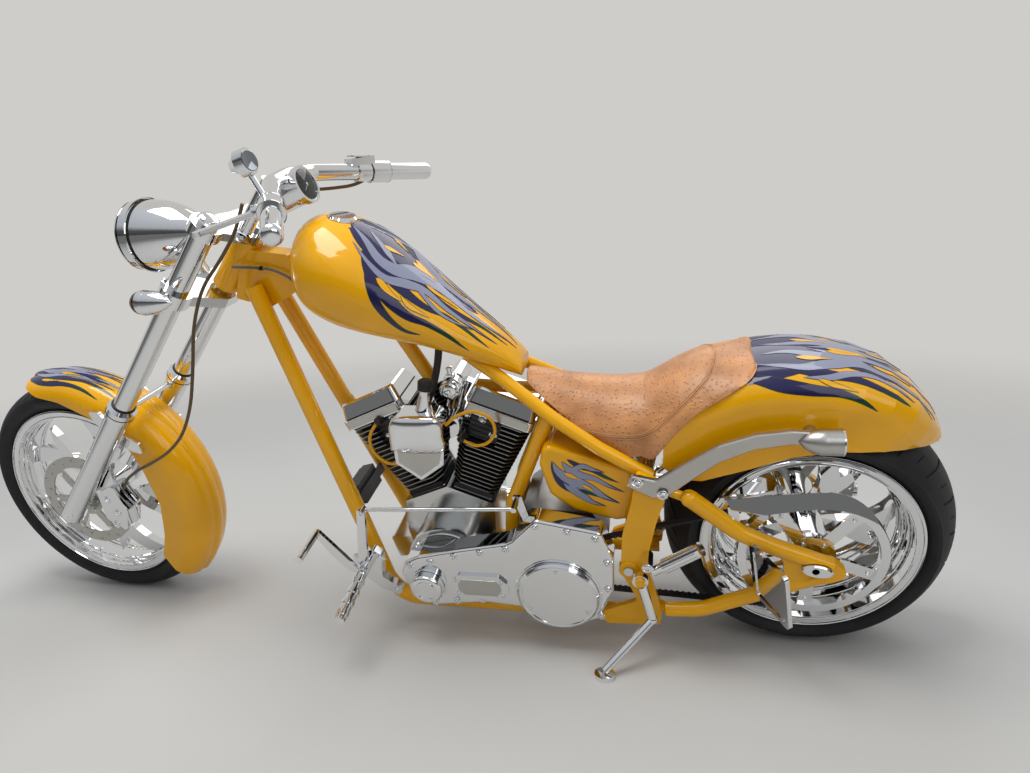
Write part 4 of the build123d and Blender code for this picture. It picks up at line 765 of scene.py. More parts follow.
class CHOPPER_OT_seat(bpy.types.Operator):
    """Upholster the seat: a padded cushion with a piped and stitched seam."""
    bl_idname = "chopper.seat"
    bl_label = "Seat"

    def execute(self, context):
        cushion = self.add_cushion()
        self.inflate(cushion)
        self.finish(cushion)
        self.add_seam(cushion)
        return {"FINISHED"}

    def add_cushion(self):
        """Crowned cushion lofted through its sections, its underside laid over the fender."""
        bm = bmesh.new()
        rings = []
        for x, *sizes in smooth_line(SEAT_ROWS, SEAT_STEPS):
            right = seat_section(*sizes)
            loop = right + [(-y, z) for y, z in right[-2:0:-1]]
            ring = []
            for number, (y, z) in enumerate(loop):
                over = min(number, len(loop) - number) > FLAT + SIDE
                floor = fender_top(x, y) + (COVER_LIFT if over else PAN_LIFT)
                ring.append(bm.verts.new((x, y, max(z, floor))))
            rings.append(ring)
        skin(bm, rings)
        for ring in (rings[0], rings[-1]):
            self.close_end(bm, ring)
        cushion = mesh_object("seat_cushion", bm, BIKE)
        self.smooth(cushion)
        self.apply(cushion)
        return cushion

    def close_end(self, bm, ring):
        """Close an end with rings drawn in to its middle."""
        middle = sum((vert.co for vert in ring), Vector()) / len(ring)
        inner = [[bm.verts.new(vert.co.lerp(middle, share)) for vert in ring] for share in (0.25, 0.55, 0.8)]
        skin(bm, [ring, *inner, [bm.verts.new(middle)]])

    def smooth(self, thing):
        relax = thing.modifiers.new("relax", "SMOOTH")
        relax.factor = 0.5
        relax.iterations = 4

    def apply(self, thing):
        """Put the result of the modifiers into the mesh."""
        graph = bpy.context.evaluated_depsgraph_get()
        mesh = bpy.data.meshes.new_from_object(thing.evaluated_get(graph))
        thing.modifiers.clear()
        thing.data = mesh

    def inflate(self, cushion):
        """Press the cover out from inside, held where it meets the pan, and let no point move far."""
        mesh = cushion.data
        down = (BIKE.to_3x3() @ Vector((0, 0, -1))).normalized()
        start = [v.co.copy() for v in mesh.vertices]
        normals = [v.normal.copy() for v in mesh.vertices]
        held = cushion.vertex_groups.new(name="held")
        held.add([k for k, n in enumerate(normals) if n.dot(down) > HELD_DOWN], 1.0, "ADD")
        for vertex, normal in zip(mesh.vertices, normals):
            if normal.dot(down) <= HELD_DOWN:
                vertex.co -= normal * SEAT_SHRINK * MM
        cloth = cushion.modifiers.new("cloth", "CLOTH")
        for name, value in CLOTH.items():
            setattr(cloth.settings, name, value)
        cloth.settings.effector_weights.gravity = 0.0
        cloth.point_cache.frame_start, cloth.point_cache.frame_end = 1, 20
        for frame_number in range(1, 21):
            bpy.context.scene.frame_set(frame_number)
        self.apply(cushion)
        bpy.context.scene.frame_set(1)
        for vertex, first in zip(cushion.data.vertices, start):
            step = vertex.co - first
            if step.length > SEAT_CAP * MM:
                vertex.co = first + step.normalized() * SEAT_CAP * MM

    def finish(self, cushion):
        self.smooth(cushion)
        finer = cushion.modifiers.new("finer", "SUBSURF")
        finer.levels = finer.render_levels = 1
        self.apply(cushion)
        cushion.data.materials.append(MATERIALS["ostrich leather"])
        cushion.data.polygons.foreach_set("use_smooth", [True] * len(cushion.data.polygons))
        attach(cushion, "chassis")
        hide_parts("seat")

    def add_seam(self, cushion):
        """Piping round the edge of the top, over the hump too, with a row of stitches on each side."""
        surface = Surface(cushion, "chassis")
        line = smooth_line(SEAM + [SEAM_TOP] + [(x, -y, z) for x, y, z in SEAM[::-1]], 4)
        path = []
        for point in line:
            near, normal, _, _ = surface.tree.find_nearest(surface.place @ Vector(point))
            path.append((surface.back @ near, (surface.back.to_3x3() @ normal).normalized()))
        piping, stitches = bmesh.new(), bmesh.new()
        add_tube(piping, [point + normal * 0.4 for point, normal in path], 1.8, 8)
        for (a, na), (b, nb) in zip(path, path[1:]):
            side = na.cross(b - a).normalized()
            for offset in (-4.5, 4.5):
                add_tube(stitches, [a + side * offset + na * 0.2, (a + b) / 2 + side * offset + na * 0.9,
                                    b + side * offset + nb * 0.2], 0.7, 6)
        new_piece("seat_piping", piping, "ostrich leather")
        new_piece("seat_stitches", stitches, "waxed thread")


def add_tube(bm, points, radius, sides):
    """Round tube through points, closed at both ends."""
    rings = []
    turn = None
    for k, point in enumerate(points):
        run = (points[min(k + 1, len(points) - 1)] - points[max(k - 1, 0)]).normalized()
        if turn is None:
            turn = run.orthogonal().normalized()
        turn = (turn - run * turn.dot(run)).normalized()
        other = run.cross(turn)
        rings.append([bm.verts.new(point + (turn * math.cos(a) + other * math.sin(a)) * radius)
                      for a in circle(sides)])
    skin(bm, rings)
    bm.faces.new(rings[0][::-1])
    bm.faces.new(rings[-1])


# Small fittings

def add_ring(bm, origin, axis, inner, outer, height, steps=40):
    """Raised ring with rounded edges, standing on a surface."""
    edge = min(height, (outer - inner) / 2) * 0.4
    profile = [(outer, -1.0), (outer, height - edge), (outer - edge, height), (inner + edge, height),
               (inner, height - edge), (inner, -1.0)]
    add_lathe(bm, profile, origin, axis, steps)


def add_plate(bm, outline, face, thick, edge, place=Matrix()):
    """Bevelled plate: outline in (x, z), standing thick out from the plane y = face towards -y."""
    middle = sum((Vector(p) for p in outline), Vector((0, 0))) / len(outline)
    rows = []
    for inset, y in ((0.0, face + 0.5), (0.0, face - thick + edge), (edge, face - thick)):
        row = []
        for point in outline:
            inward = (middle - Vector(point)).normalized() * inset
            row.append(bm.verts.new(place @ Vector((point[0] + inward.x, y, point[1] + inward.y))))
        rows.append(row)
    skin(bm, rows)
    bm.faces.new(rows[-1])


def add_pillow(bm, outline, face, lifts):
    """Swelling cover: an outline in (x, z) that draws in by a share as it rises by a lift towards -y."""
    round_line = [Vector(point) for point in smooth_line(outline + outline[:1], 5)[:-1]]
    middle = sum(round_line, Vector((0, 0))) / len(round_line)
    rows = []
    for share, lift in lifts:
        rows.append([bm.verts.new((spot.x, face - lift, spot.y))
                     for spot in (point.lerp(middle, share) for point in round_line)])
    skin(bm, rows)
    bm.faces.new(rows[-1])


def add_bead(bm, middle, axis, radius, height, bead):
    """Thin round bead about an axis, half let into the surface that it runs on."""
    section = [(radius + bead * math.cos(2 * math.pi * k / 8), height + bead * math.sin(2 * math.pi * k / 8))
               for k in range(9)]
    add_lathe(bm, section, middle, axis, 96)


def add_block(bm, centre, size, place=Matrix()):
    """Box with its edges broken."""
    made = bmesh.ops.create_cube(bm, size=1.0,
                                 matrix=place @ Matrix.Translation(centre) @ Matrix.Diagonal((*size, 1.0)))
    edges = list(dict.fromkeys(edge for vert in made["verts"] for edge in vert.link_edges))
    bmesh.ops.bevel(bm, geom=edges, offset=min(size) * 0.18, segments=2, affect="EDGES")


# Engine

CRANK = Vector((-875.0, 0.0, 262.0))
VEE_HALF = math.radians(22.5)
HEAD_TOP = 405.0
# Fins: count, height of the first and the last over the crank, thickness
FINS, FIN_FIRST, FIN_LAST, FIN_THICK = 17, 184.0, 398.0, 4.0
# Plug recess in the fins: height where it starts, and x and y of its corner
RECESS_FROM = 319.0
RECESS_END = 16.0
RECESS_Y = -58.0


def bore_frame(side):
    """Frame of one cylinder: z up its bore, x square to it, origin on the crankshaft."""
    angle = VEE_HALF * side
    x = Vector((math.cos(angle), 0, -math.sin(angle)))
    z = Vector((math.sin(angle), 0, math.cos(angle)))
    turn = Matrix((x, Vector((0, 1, 0)), z)).transposed().to_4x4()
    return Matrix.Translation(CRANK) @ turn


def add_edge_band(bm, line, low, high, closed, place):
    """Band round the edge of a fin or a gasket, let a little into it."""
    count = len(line)
    rows = []
    for inset, z in ((1.0, low), (-0.25, low), (-0.25, high), (1.0, high)):
        row = []
        for k, point in enumerate(line):
            before = line[k - 1] if closed or k else point
            after = line[(k + 1) % count] if closed or k < count - 1 else point
            run = (Vector(after) - Vector(before)).normalized()
            out = Vector((run.y, -run.x))
            spot = Vector(point) - out * inset
            row.append(bm.verts.new(place @ Vector((spot.x, spot.y, z))))
        rows.append(row)
    skin(bm, rows, closed)


def octagon(w, d, c):
    """Outline with cut corners: half width, half depth and what each corner loses."""
    return [(w - c, -d), (w, c - d), (w, d - c), (w - c, d), (c - w, d), (-w, d - c), (-w, c - d),
            (c - w, -d)]


COVER_Y = -206
# Screws of the primary cover: y of the face they stand on, then x and z of each
COVER_SCREWS = {
    COVER_Y: [(-956, 290), (-900, 306), (-836, 327), (-768, 342), (-702, 358), (-624, 428), (-548, 418),
              (-484, 400), (-460, 330), (-461, 250), (-480, 164), (-778, 193), (-846, 184), (-905, 176),
              (-954, 204)],
    -213: [(-836, 258), (-836, 216), (-722, 258), (-722, 216)],
}
# Chrome rings on the left of the engine: place, inner and outer radius, height
COVER_RINGS = [
    ((-582, -220, 226), 88.0, 95.0, 2.0), ((-915, -234, 234), 25.0, 29.0, 1.5),
    ((-915, COVER_Y, 234), 42.5, 48.0, 3.0), ((-582, COVER_Y, 226), 101.5, 107.0, 3.0),
    ((-875, -152, 262), 84.0, 92.0, 3.0),
]
# Outline of a rocker box's side band, as x and the height over the head
ROCKER_BAND = [(-75, 3), (75, 3), (77, 8), (77, 20), (72, 24), (-72, 24), (-77, 20), (-77, 8)]
# Bare panels of the coil cover and of the primary cover's window: y of the face, thickness, bevel, outline
PANELS = [
    (-134.0, 1.6, 1.4, [(-960, 584), (-848, 584), (-856, 552), (-911, 513), (-962, 553)]),
    (-213.0, 1.2, 1.0, [(-834, 246), (-822, 262), (-736, 262), (-724, 246), (-724, 228), (-736, 212),
                        (-822, 212), (-834, 228)]),
]
# Upper half of the coil cover: its outline in the side view, and how it rises as it draws in
COIL_DOME = [(-971, 594), (-968, 640), (-962, 668), (-944, 685), (-895, 688), (-848, 685), (-834, 664),
             (-833, 630), (-838, 594), (-905, 586)]
COIL_DOME_LIFTS = [(0.0, 0.0), (0.005, 4.0), (0.03, 8.0), (0.08, 11.5), (0.16, 15.0), (0.3, 18.5),
                   (0.5, 21.0), (0.75, 22.2), (0.93, 22.5)]
# Plug boots: first and last point. Head nuts: x and z in the bore's frame
PLUG_BOOTS = [((-805, -58, 594), (-812, -90, 592)), ((-1014, -56, 634), (-1020, -88, 641))]
HEAD_NUTS = [(2, 352), (-34, 386), (-74, 386)]


class CHOPPER_OT_engine(bpy.types.Operator):
    """Dress the engine: fin edges, rocker boxes, covers, plug boots, head nuts and the intake."""
    bl_idname = "chopper.engine"
    bl_label = "Engine fittings"

    def execute(self, context):
        self.add_fin_edges()
        self.add_rocker_bands()
        self.add_covers()
        self.add_plugs()
        self.add_intake()
        return {"FINISHED"}

    def add_fin_edges(self):
        bm = bmesh.new()
        for side in (-1, 1):
            # Fins grow from 62 mm to 87 mm in half width and to 75 mm in half depth up the cylinder.
            for k in range(FINS):
                share = k / (FINS - 1)
                low = FIN_FIRST + (FIN_LAST - FIN_FIRST) * share
                w, d = 62 + 25 * share, 62 + 13 * share
                line = octagon(w, d, 22)
                whole = low <= RECESS_FROM
                if not whole:
                    line = [(RECESS_END, -d)] + line[:6] + [(-w, RECESS_Y)]
                if side < 0:
                    line = [(-x, y) for x, y in line[::-1]]
                add_edge_band(bm, line, low + 0.7, low + FIN_THICK - 0.7, whole, bore_frame(side))
        new_piece("fin_edges", bm, "milled aluminium")

    def add_rocker_bands(self):
        bands, chrome, gasket = bmesh.new(), bmesh.new(), bmesh.new()
        outline = [(x, HEAD_TOP + z) for x, z in ROCKER_BAND]
        for side in (-1, 1):
            place = bore_frame(side)
            for turn in (Matrix(), Matrix.Diagonal((1, -1, 1, 1))):
                add_plate(bands, outline, -76.0, 2.0, 1.2, place @ turn)
                for x in (-62, 62):
                    spot = place @ turn @ Vector((x, -62, HEAD_TOP + 26))
                    add_screw(chrome, spot, place.to_3x3() @ UP, 5.5, 6.0)
            add_edge_band(gasket, octagon(86.6, 70.6, 14.0), HEAD_TOP + 26.2, HEAD_TOP + 28.4, True, place)
        port = bore_frame(1)
        add_ring(chrome, port @ Vector((0, 0, HEAD_TOP + 64)), port.to_3x3() @ UP, 18.5, 25.0, 2.5)
        new_piece("rocker_bands", bands, "brushed aluminium")
        new_piece("rocker_fittings", chrome)
        new_piece("rocker_gaskets", gasket, "belt rubber")

    def add_covers(self):
        bm = bmesh.new()
        for y, spots in COVER_SCREWS.items():
            for x, z in spots:
                if y == COVER_Y:
                    add_lathe(bm, [(10.5, -1.0), (10.0, 2.5), (8.5, 4.0), (6.0, 4.0)], (x, y, z), LEFT, 24)
                add_screw(bm, (x, y - (3.0 if y == COVER_Y else 0.0), z), LEFT, 5.5, 4.0)
        for degrees in (90, 210, 330):
            turn = math.radians(degrees)
            spot = (-582 + 80 * math.cos(turn), -220, 226 + 80 * math.sin(turn))
            add_screw(bm, spot, LEFT, 4.5, 3.0)
        for place, inner, outer, height in COVER_RINGS:
            add_ring(bm, place, LEFT, inner, outer, height, 64)
        new_piece("cover_fittings", bm)
        panel = bmesh.new()
        for face, thick, edge, outline in PANELS:
            add_plate(panel, outline, face, thick, edge)
        new_piece("bare_panels", panel, "brushed aluminium")
        dome = bmesh.new()
        add_pillow(dome, COIL_DOME, -140.0, COIL_DOME_LIFTS)
        new_piece("coil_dome", dome, sharp=50.0)

    def add_plugs(self):
        boots, nuts = bmesh.new(), bmesh.new()
        for start, end in PLUG_BOOTS:
            way = Vector(end) - Vector(start)
            long = way.length
            profile = [(6.0, 0), (6.0, long * 0.3), (8.6, long * 0.34), (8.2, long * 0.8),
                       (9.6, long * 0.84), (9.0, long), (5.0, long + 4), (0, long + 5)]
            add_lathe(boots, profile, start, way, 20)
        for side in (-1, 1):
            for x, z in HEAD_NUTS:
                spot = bore_frame(side) @ Vector((side * x, -56, z))
                add_lathe(nuts, [(8.0, -1), (8.0, 6), (6.5, 8), (0, 12)], spot, LEFT, 6)
                add_ring(nuts, spot, LEFT, 7.0, 10.5, 1.5, 20)
        new_piece("plug_boots", boots, "hose sleeve")
        new_piece("head_nuts", nuts)

    def add_intake(self):
        bm, knob = bmesh.new(), bmesh.new()
        face = Vector((-830, -60, 712))
        add_lathe(bm, [(22.0, -1), (22.0, 3), (18.5, 7), (18.5, 9), (12.0, 12), (7.0, 12), (7.0, 18),
                       (0, 19)], face, LEFT)
        for inward in (20, 52):
            add_ring(bm, face - LEFT * inward, LEFT, 23.0, 27.0, 6.0)
        add_block(bm, (-830, -38, 742), (22, 18, 14))
        add_lathe(bm, [(6.0, 0), (6.0, 12), (8.0, 13), (8.0, 18), (0, 20)], (-830, -38, 747), UP, 18)
        add_lathe(knob, [(17.5, 65.5), (17.6, 84.0), (14.5, 87.0), (0, 87.6)], (-887, -104, 676),
                  (19, 0, 89))
        new_piece("intake_fittings", bm)
        new_piece("post_cap", knob, "belt rubber")


# Lamps, gauge and mirror

# Lenses: name, body, finish, place, axis and profile of (radius, height); a pair has one on each side
LENSES = [
    ("front_signal_lens", "steering", "amber lens", (-1386, -188, 994), (-1, 0, 0),
     [(28.3, 74), (28.0, 84), (24.5, 94), (17.6, 102.5), (0, 107)]),
    ("rear_signal_lens", "chassis", "red lens", (-58, -180, 655), (1, 0, 0),
     [(24.5, 83), (24.5, 85.5), (20.0, 88.5), (10.0, 90.5), (0, 91)]),
]


class CHOPPER_OT_lamps(bpy.types.Operator):
    """Glaze the headlight and the signals, and fit the gauge's dial and the mirror's glass."""
    bl_idname = "chopper.lamps"
    bl_label = "Lamps, gauge and mirror"

    def execute(self, context):
        for name, body, finish, place, axis, profile in LENSES:
            bm = bmesh.new()
            for side in (1, -1):
                add_lathe(bm, profile, (place[0], place[1] * side, place[2]), axis)
            new_piece(name, bm, finish, body)
        rims = bmesh.new()
        for side in (1, -1):
            add_ring(rims, (26, 180 * side, 655), (1, 0, 0), 24.5, 28.6, 3.0)
        new_piece("rear_signal_rims", rims)
        self.add_headlight()
        self.add_gauge()
        self.add_mirror()
        return {"FINISHED"}

    def add_headlight(self):
        lens, rim, seam = bmesh.new(), bmesh.new(), bmesh.new()
        front = Vector((-1586, 0, 1108))
        ahead = Vector((-1, 0, 0))
        add_lathe(lens, [(73.5, 0.4), (70.0, 3.0), (48.0, 9.0), (24.0, 12.0), (0, 13.0)], front, ahead, 48)
        add_ring(rim, front, ahead, 73.0, 85.0, 3.0, 64)
        add_ring(rim, front - ahead * 30.5, ahead, 83.0, 90.5, 5.0, 64)
        add_lathe(seam, [(83.0, 0.0), (86.2, 0.4), (86.0, 3.2), (83.0, 3.6)], front - ahead * 34.5, ahead,
                  64)
        new_piece("headlight_lens", lens, "clear lens", "steering")
        new_piece("headlight_rim", rim, "chrome plate", "steering")
        new_piece("headlight_seam", seam, "belt rubber", "steering")

    def add_gauge(self):
        """Dial with a mark every 9 degrees, a longer one at every fifth, under a domed glass."""
        dial, marks, glass = bmesh.new(), bmesh.new(), bmesh.new()
        facing = Vector((92, 0, 30)).normalized()
        face = Vector((-1104, 0, 1206)) - facing * 4.6
        place = Matrix.Translation(face) @ axis_turn(facing)
        add_lathe(dial, [(36.8, -0.3), (36.8, 0.2), (0, 0.3)], face, facing, 48)
        for k in range(31):
            long, wide = (3.0, 1.0) if k % 5 else (5.5, 1.7)
            turn = place @ Matrix.Rotation(math.radians(225 - 9 * k), 4, "Z")
            turn = turn @ Matrix.Translation((32.5 - long / 2, 0, 0.6))
            add_block(marks, (0, 0, 0), (long, wide, 0.5), turn)
        needle = place @ Matrix.Rotation(math.radians(215), 4, "Z")
        add_block(marks, (11, 0, 2.0), (28, 1.6, 0.8), needle)
        add_lathe(marks, [(4.0, 0), (4.0, 2.6), (0, 3.6)], face, facing, 20)
        add_ring(marks, face, facing, 34.6, 36.8, 2.0, 48)
        add_lathe(glass, [(36.9, 4.2), (30.0, 5.6), (15.0, 7.0), (0, 7.4)], face, facing, 48)
        new_piece("gauge_dial", dial, "dial black", "steering")
        new_piece("gauge_marks", marks, "polished aluminium", "steering")
        new_piece("gauge_glass", glass, "clear lens", "steering")

    def add_mirror(self):
        bm = bmesh.new()
        facing = Vector((0.96, 0.05, 0.25)).normalized()
        place = Matrix.Translation(Vector((-1102, -212, 1280)) + facing * 12) @ axis_turn(facing)
        add_lathe(bm, [(1.0, -0.5), (1.0, 0.8), (0.93, 1.4), (0.86, 0.6), (0.0, 0.5)], (0, 0, 0), UP, 48)
        for vert in bm.verts:
            vert.co = place @ Vector((vert.co.x * 25.5, vert.co.y * 20.5, vert.co.z))
        new_piece("mirror_glass", bm, "tinted mirror", "steering")


# Running gear

# Screws and bolts that face the left: body, place, radius, height, and whether the right has one too
BOLTS = [
    ("chassis", (-384, -186, 545), 9.0, 6.0, True), ("chassis", (-330, -186, 516), 9.0, 6.0, True),
    ("chassis", (-366, -216, 330), 9.0, 4.0, True), ("chassis", (-1085, -216, 275), 7.0, 3.0, True),
    ("chassis", (-1056, -206, 448), 5.5, 4.0, False), ("chassis", (-1036, -186, 292), 6.0, 4.0, True),
    ("chassis", (-1018, -186, 184), 6.0, 4.0, True), ("chassis", (-179, -172, 446), 5.0, 4.0, False),
    ("steering", (-1884, -112, 300), 9.0, 4.0, False), ("steering", (-1864, -112, 340), 9.0, 4.0, False),
    ("steering", (-1884, -112, 384), 9.0, 4.0, False),
]
# Rings of bolts on the wheels: body, y, side they face, count, radius of the ring, bolt radius, turn
BOLT_RINGS = [
    ("front_wheel", -79, -1, 6, 36.0, 4.5, 0.0), ("front_wheel", -79, -1, 6, 104.0, 6.0, 0.0),
    ("rear_wheel", -145, -1, 5, 38.0, 5.5, 20.0), ("rear_wheel", -143.5, -1, 5, 130.0, 5.0, 20.0),
    ("rear_wheel", 131, 1, 6, 36.0, 4.5, 0.0),
]
# Rolled and turned beads on both sides of the rims: radius, y and bead radius
RIM_BEADS = {
    "front_wheel": [(279.5, 51.0, 2.8), (263.0, 48.0, 2.0), (258.0, 36.5, 2.2), (255.2, 23.0, 2.2)],
    "rear_wheel": [(242.0, 112.0, 3.2), (226.5, 109.5, 2.4), (217.3, 79.0, 3.0), (212.0, 50.0, 3.0),
                   (207.2, 26.0, 3.0)],
}
# Valve stems: distance of the foot from the axle, and y
VALVES = {"front_wheel": (262, -34), "rear_wheel": (222, -84)}
AXLES = {"front_wheel": FRONT_AXLE, "rear_wheel": REAR_AXLE}
# Drive belt: middles of its two pulleys, radii of its inner face there, and the pitch of its teeth
BELT = (Vector((-560, -139.5, 262)), 59.2, Vector((0, -139.5, REAR_TYRE_R)), 159.2, 14)


class CHOPPER_OT_fittings(bpy.types.Operator):
    """Bolts, the rims' beads, the fork's seals, valve stems, the belt's teeth and the bar's hardware."""
    bl_idname = "chopper.fittings"
    bl_label = "Bolts and small hardware"

    def execute(self, context):
        self.add_bolts()
        self.add_rim_beads()
        self.add_collars()
        self.add_valves()
        self.add_belt_teeth()
        self.add_bar_hardware()
        return {"FINISHED"}

    def add_bolts(self):
        meshes = defaultdict(bmesh.new)
        for body, place, radius, height, both in BOLTS:
            bm = meshes[body]
            for side in (1, -1) if both else (1,):
                spot = Vector((place[0], place[1] * side, place[2]))
                add_ring(bm, spot, (0, -side, 0), radius * 0.9, radius * 1.35, 1.6, 24)
                add_screw(bm, spot, (0, -side, 0), radius, height)
        for body, y, facing, count, ring, radius, turn in BOLT_RINGS:
            for angle in circle(count):
                spot = AXLES[body] + Vector((0, y, 0)) + spoke(-angle - math.radians(turn)) * ring
                add_screw(meshes[body], spot, (0, facing, 0), radius, 3.5)
        for body, bm in meshes.items():
            new_piece(body + "_bolts", bm, body=body)

    def add_rim_beads(self):
        for body, beads in RIM_BEADS.items():
            bm = bmesh.new()
            for side in (-1, 1):
                for radius, y, bead in beads:
                    add_bead(bm, AXLES[body], (0, side, 0), radius, y, bead)
            new_piece(body + "_beads", bm, body=body)

    def add_collars(self):
        """Dark seal and ring in each slider's collar, and the tie on the clutch cable."""
        seals, tie = bmesh.new(), bmesh.new()
        for side in (-1, 1):
            foot = FRONT_AXLE + Vector((0, FORK_HALF * side, 0))
            add_lathe(seals, [(36.0, 428.5), (36.4, 429.0), (36.4, 431.5), (36.0, 432.0)], foot, UP_FORK)
            add_lathe(seals, [(27.0, 455.5), (29.5, 456.0), (29.0, 459.5), (26.2, 461.0)], foot, UP_FORK)
        add_lathe(tie, [(3.6, -3.5), (5.2, -3.2), (5.2, 3.2), (3.6, 3.5)], (-1252, -38, 1027),
                  (47, 4, -6), 20)
        add_block(tie, (-1252, -44, 1027), (7, 5, 5))
        new_piece("fork_seals", seals, "belt rubber", "steering")
        new_piece("cable_tie", tie, "belt rubber")

    def add_valves(self):
        for body, (reach, y) in VALVES.items():
            stem = bmesh.new()
            out = spoke(math.radians(250))
            add_lathe(stem, [(5.0, 0), (4.4, 8), (3.4, 9), (3.4, 26), (4.4, 27), (4.4, 35), (0, 36)],
                      AXLES[body] + Vector((0, y, 0)) + out * reach, -out, 18)
            new_piece(body + "_valve", stem, body=body)

    def add_belt_teeth(self):
        """Teeth on the inside of the belt's two straight runs."""
        bm = bmesh.new()
        small, small_r, big, big_r, pitch = BELT
        way = big - small
        slope = math.atan2(way.z, way.x)
        spread = math.asin((big_r - small_r) / way.length)
        for sign in (1, -1):
            out = spoke(slope + sign * (math.pi / 2 + spread))
            start, end = small + out * small_r, big + out * big_r
            run = (end - start).normalized()
            turn = Matrix((run, -LEFT, run.cross(-LEFT))).transposed().to_4x4()
            for k in range(1, int((end - start).length / pitch)):
                spot = start + run * pitch * k - out * 1.8
                add_block(bm, (0, 0, 0), (7.5, 15.0, 4.0), Matrix.Translation(spot) @ turn)
        new_piece("belt_teeth", bm, "belt rubber")

    def bar_end(self, side):
        """End of the bar on one side, and the direction inward along its grip."""
        end = Vector((-971, 372 * side, 1172))
        return end, (Vector((-1140, 84 * side, 1220)) - end).normalized()

    def add_bar_hardware(self):
        """Lid of the brake fluid box, lever pivots, the grips' rings, the stem's nut and the fork's caps."""
        bm = bmesh.new()
        end, run = self.bar_end(1)
        up = (UP - run * run.z).normalized()
        across = up.cross(run)
        turn = Matrix((run, across, up)).transposed().to_4x4()
        turn = Matrix.Translation(end + run * 196 + up * 35) @ turn
        add_block(bm, (0, 0, 1.5), (62, 30, 3.0), turn)
        for x in (-24, 24):
            add_screw(bm, turn @ Vector((x, 0, 3.0)), up, 3.2, 1.5)
        for side in (-1, 1):
            end, run = self.bar_end(side)
            add_screw(bm, end + run * 150 + Vector((-38, 0, 6)), UP, 6.0, 5.0)
            for reach in (122.0, 174.0):
                add_lathe(bm, [(27.0, -2.0), (28.2, -1.2), (28.2, 1.2), (27.0, 2.0)], end + run * reach,
                          run, 36)
        top = FRONT_AXLE + spoke(-RAKE) * STEM_BEHIND + UP_FORK * 1062
        add_lathe(bm, [(17.0, -1), (17.0, 8), (14.0, 11), (0, 12)], top, UP_FORK, 6)
        for side in (-1, 1):
            cap = FRONT_AXLE + Vector((0, FORK_HALF * side, 0)) + UP_FORK * 1078
            add_lathe(bm, [(22.5, -3), (22.5, 3), (18.0, 7), (9.0, 8.5), (0, 9)], cap, UP_FORK, 36)
        new_piece("bar_hardware", bm, body="steering")


# Stage

# Level of the unlit room on the camera's side where the floor meets it
DARK_WALL = 0.16


def shown_backdrop(tree, side, near, far):
    """Whether a ray shows the backdrop, and its colour: far to the camera and on the far side of the stage.

    Reflections and glass show the near colour on the camera's side.
    """
    rays = add(tree, "LightPath").outputs
    wall = step(tree, side, -0.12, 0.12)
    bent = math_node(tree, "MAXIMUM", rays["Is Glossy Ray"], rays["Is Transmission Ray"])
    seen = math_node(tree, "MAXIMUM", rays["Is Camera Ray"], bent)
    return seen, mixed(tree, math_node(tree, "MAXIMUM", rays["Is Camera Ray"], wall), near, far)


# Lamps: name, place in m, width, height, share of the main power
LAMPS = [
    ("key", (-0.5, -0.7, 3.9), 2.2, 1.6, 1.05),
    ("fill", (2.6, -2.4, 2.2), 2.4, 1.8, 0.25),
    ("rim", (0.6, 2.6, 3.6), 3.2, 1.8, 0.4),
]


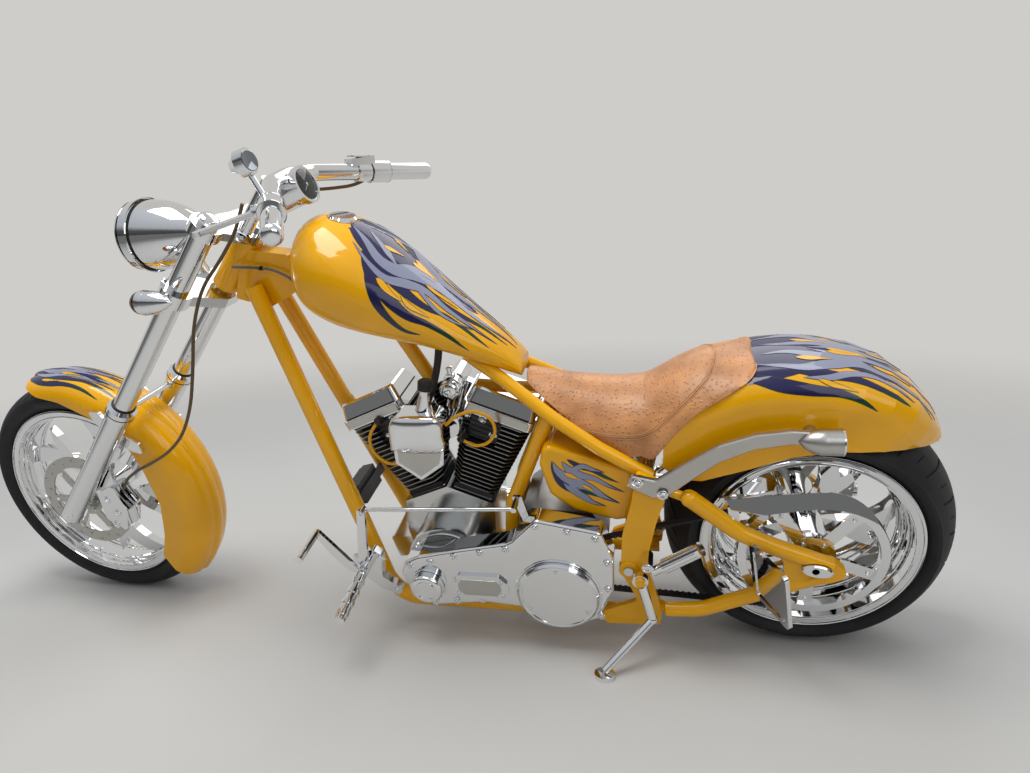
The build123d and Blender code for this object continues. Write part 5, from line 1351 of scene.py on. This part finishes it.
class CHOPPER_OT_stage(bpy.types.Operator):
    """Floor, soft lamps, pale world and the camera at the photograph's angle."""
    bl_idname = "chopper.stage"
    bl_label = "Stage"

    # Camera in the bike frame: place in mm, then yaw, pitch and roll in degrees.
    eye = (-310.4, -1481.8, 1453.7)
    turns = (14.1, -26.5, -6.6)
    focal_px, frame_px, sensor_mm = 700.0, 1030.0, 36.0

    def execute(self, context):
        scene = context.scene
        self.add_floor(scene.chopper_stage)
        self.add_world(scene, scene.chopper_stage)
        self.add_lamps(scene.chopper_stage)
        self.add_camera(scene)
        scene.view_settings.view_transform = "Standard"
        return {"FINISHED"}

    def add_floor(self, settings):
        tree, shader = new_material("matt floor", Roughness=0.85)
        at = object_place(tree)
        base = linear(settings.floor)
        cloud = noise(tree, at, 1.5, 4.0)
        feed(shader, Base_Color=ramp(tree, cloud, (0.3, tinted(base, 0.96)), (0.7, base)))
        # Far off the floor takes the backdrop's colour, and in reflections that of the room behind it, so
        # that no horizon shows.
        away = add(tree, "VectorMath", {0: at}, operation="LENGTH").outputs["Value"]
        way = add(tree, "VectorMath", {0: at}, operation="NORMALIZE").outputs[0]
        side = add(tree, "SeparateXYZ", {0: way}).outputs["Y"]
        seen, tone = shown_backdrop(tree, side, grey(DARK_WALL), linear(settings.backdrop))
        share = math_node(tree, "MULTIPLY", step(tree, away, 1.8, 5.5), seen)
        far = add(tree, "Emission", {"Color": tone, "Strength": 1.0}).outputs[0]
        both = add(tree, "MixShader", {0: share, 1: shader.outputs[0], 2: far}).outputs[0]
        feed(tree.get_output_node("ALL"), Surface=both)
        bm = bmesh.new()
        bmesh.ops.create_grid(bm, x_segments=2, y_segments=2, size=25.0)
        floor = mesh_object("floor", bm)
        floor.data.materials.append(MATERIALS["matt floor"])

    def add_world(self, scene, settings):
        """A pale wall and sweep on the far side, an unlit room on the camera's side, a pale ceiling."""
        scene.world = bpy.data.worlds.new("studio")
        scene.world.use_nodes = True
        tree = scene.world.node_tree
        tree.nodes.clear()
        parts = add(tree, "SeparateXYZ", {0: add(tree, "TexCoord").outputs["Generated"]}).outputs
        shade = ramp(tree, parts["Z"], (0.0, grey(DARK_WALL)), (0.02, grey(0.05)), (0.20, grey(0.09)),
                     (0.36, (0.45, 0.47, 0.50, 1.0)), (1.0, (0.66, 0.69, 0.74, 1.0)))
        seen, tone = shown_backdrop(tree, parts["Y"], shade, linear(settings.backdrop))
        light, shown = (add(tree, "Background", {"Color": colour, "Strength": 1.0}).outputs[0]
                        for colour in (shade, tone))
        both = add(tree, "MixShader", {0: seen, 1: light, 2: shown}).outputs[0]
        add(tree, "OutputWorld", {"Surface": both})

    def add_lamps(self, settings):
        for name, place, wide, high, share in LAMPS:
            lamp = bpy.data.lights.new(name, "AREA")
            lamp.shape = "RECTANGLE"
            lamp.size, lamp.size_y = wide, high
            lamp.energy = settings.lamp_power * share
            made = new_object(name, lamp)
            made.location = place
            made.rotation_euler = (Vector((0, 0, 0.5)) - Vector(place)).to_track_quat("-Z", "Y").to_euler()

    def add_camera(self, scene):
        yaw, pitch, roll = (math.radians(angle) for angle in self.turns)
        right, forward, up = (Matrix.Rotation(yaw, 3, "Z") @ Matrix.Rotation(pitch, 3, "X")).col
        across = right * math.cos(roll) + up * math.sin(roll)
        above = up * math.cos(roll) - right * math.sin(roll)
        turn = Matrix((across, above, -forward)).transposed()
        level = BIKE.to_3x3().normalized()
        camera_data = bpy.data.cameras.new("camera")
        camera_data.sensor_width = self.sensor_mm
        camera_data.lens = self.sensor_mm * self.focal_px / self.frame_px
        camera_data.clip_end = 60.0
        camera = new_object("camera", camera_data)
        camera.matrix_world = Matrix.Translation(BIKE @ Vector(self.eye)) @ (level @ turn).to_4x4()
        scene.camera = camera


OPERATORS = [CHOPPER_OT_finishes, CHOPPER_OT_licks, CHOPPER_OT_tyres, CHOPPER_OT_seat, CHOPPER_OT_engine,
             CHOPPER_OT_lamps, CHOPPER_OT_fittings, CHOPPER_OT_stage]


class CHOPPER_PT_panel(bpy.types.Panel):
    """The chopper's pieces, in the order they are made."""
    bl_idname = "CHOPPER_PT_panel"
    bl_label = "Chopper"
    bl_space_type = "VIEW_3D"
    bl_region_type = "UI"
    bl_category = "Chopper"

    def draw(self, context):
        for group_name, group in GROUPS.items():
            for name in group.__annotations__:
                self.layout.prop(getattr(context.scene, group_name), name)
        for operator in OPERATORS:
            self.layout.operator(operator.bl_idname)


GROUPS = {"chopper_paint": ChopperPaint, "chopper_seat": ChopperSeat, "chopper_stage": ChopperStage}


def register():
    for name, group in GROUPS.items():
        bpy.utils.register_class(group)
        setattr(bpy.types.Scene, name, bpy.props.PointerProperty(type=group))
    for operator in OPERATORS:
        bpy.utils.register_class(operator)
    bpy.utils.register_class(CHOPPER_PT_panel)


def unregister():
    bpy.utils.unregister_class(CHOPPER_PT_panel)
    for operator in reversed(OPERATORS):
        bpy.utils.unregister_class(operator)
    for name, group in GROUPS.items():
        delattr(bpy.types.Scene, name)
        bpy.utils.unregister_class(group)


def main():
    register()
    for operator in OPERATORS:
        category, name = operator.bl_idname.split(".")
        getattr(getattr(bpy.ops, category), name)()


if __name__ == "__main__":
    main()
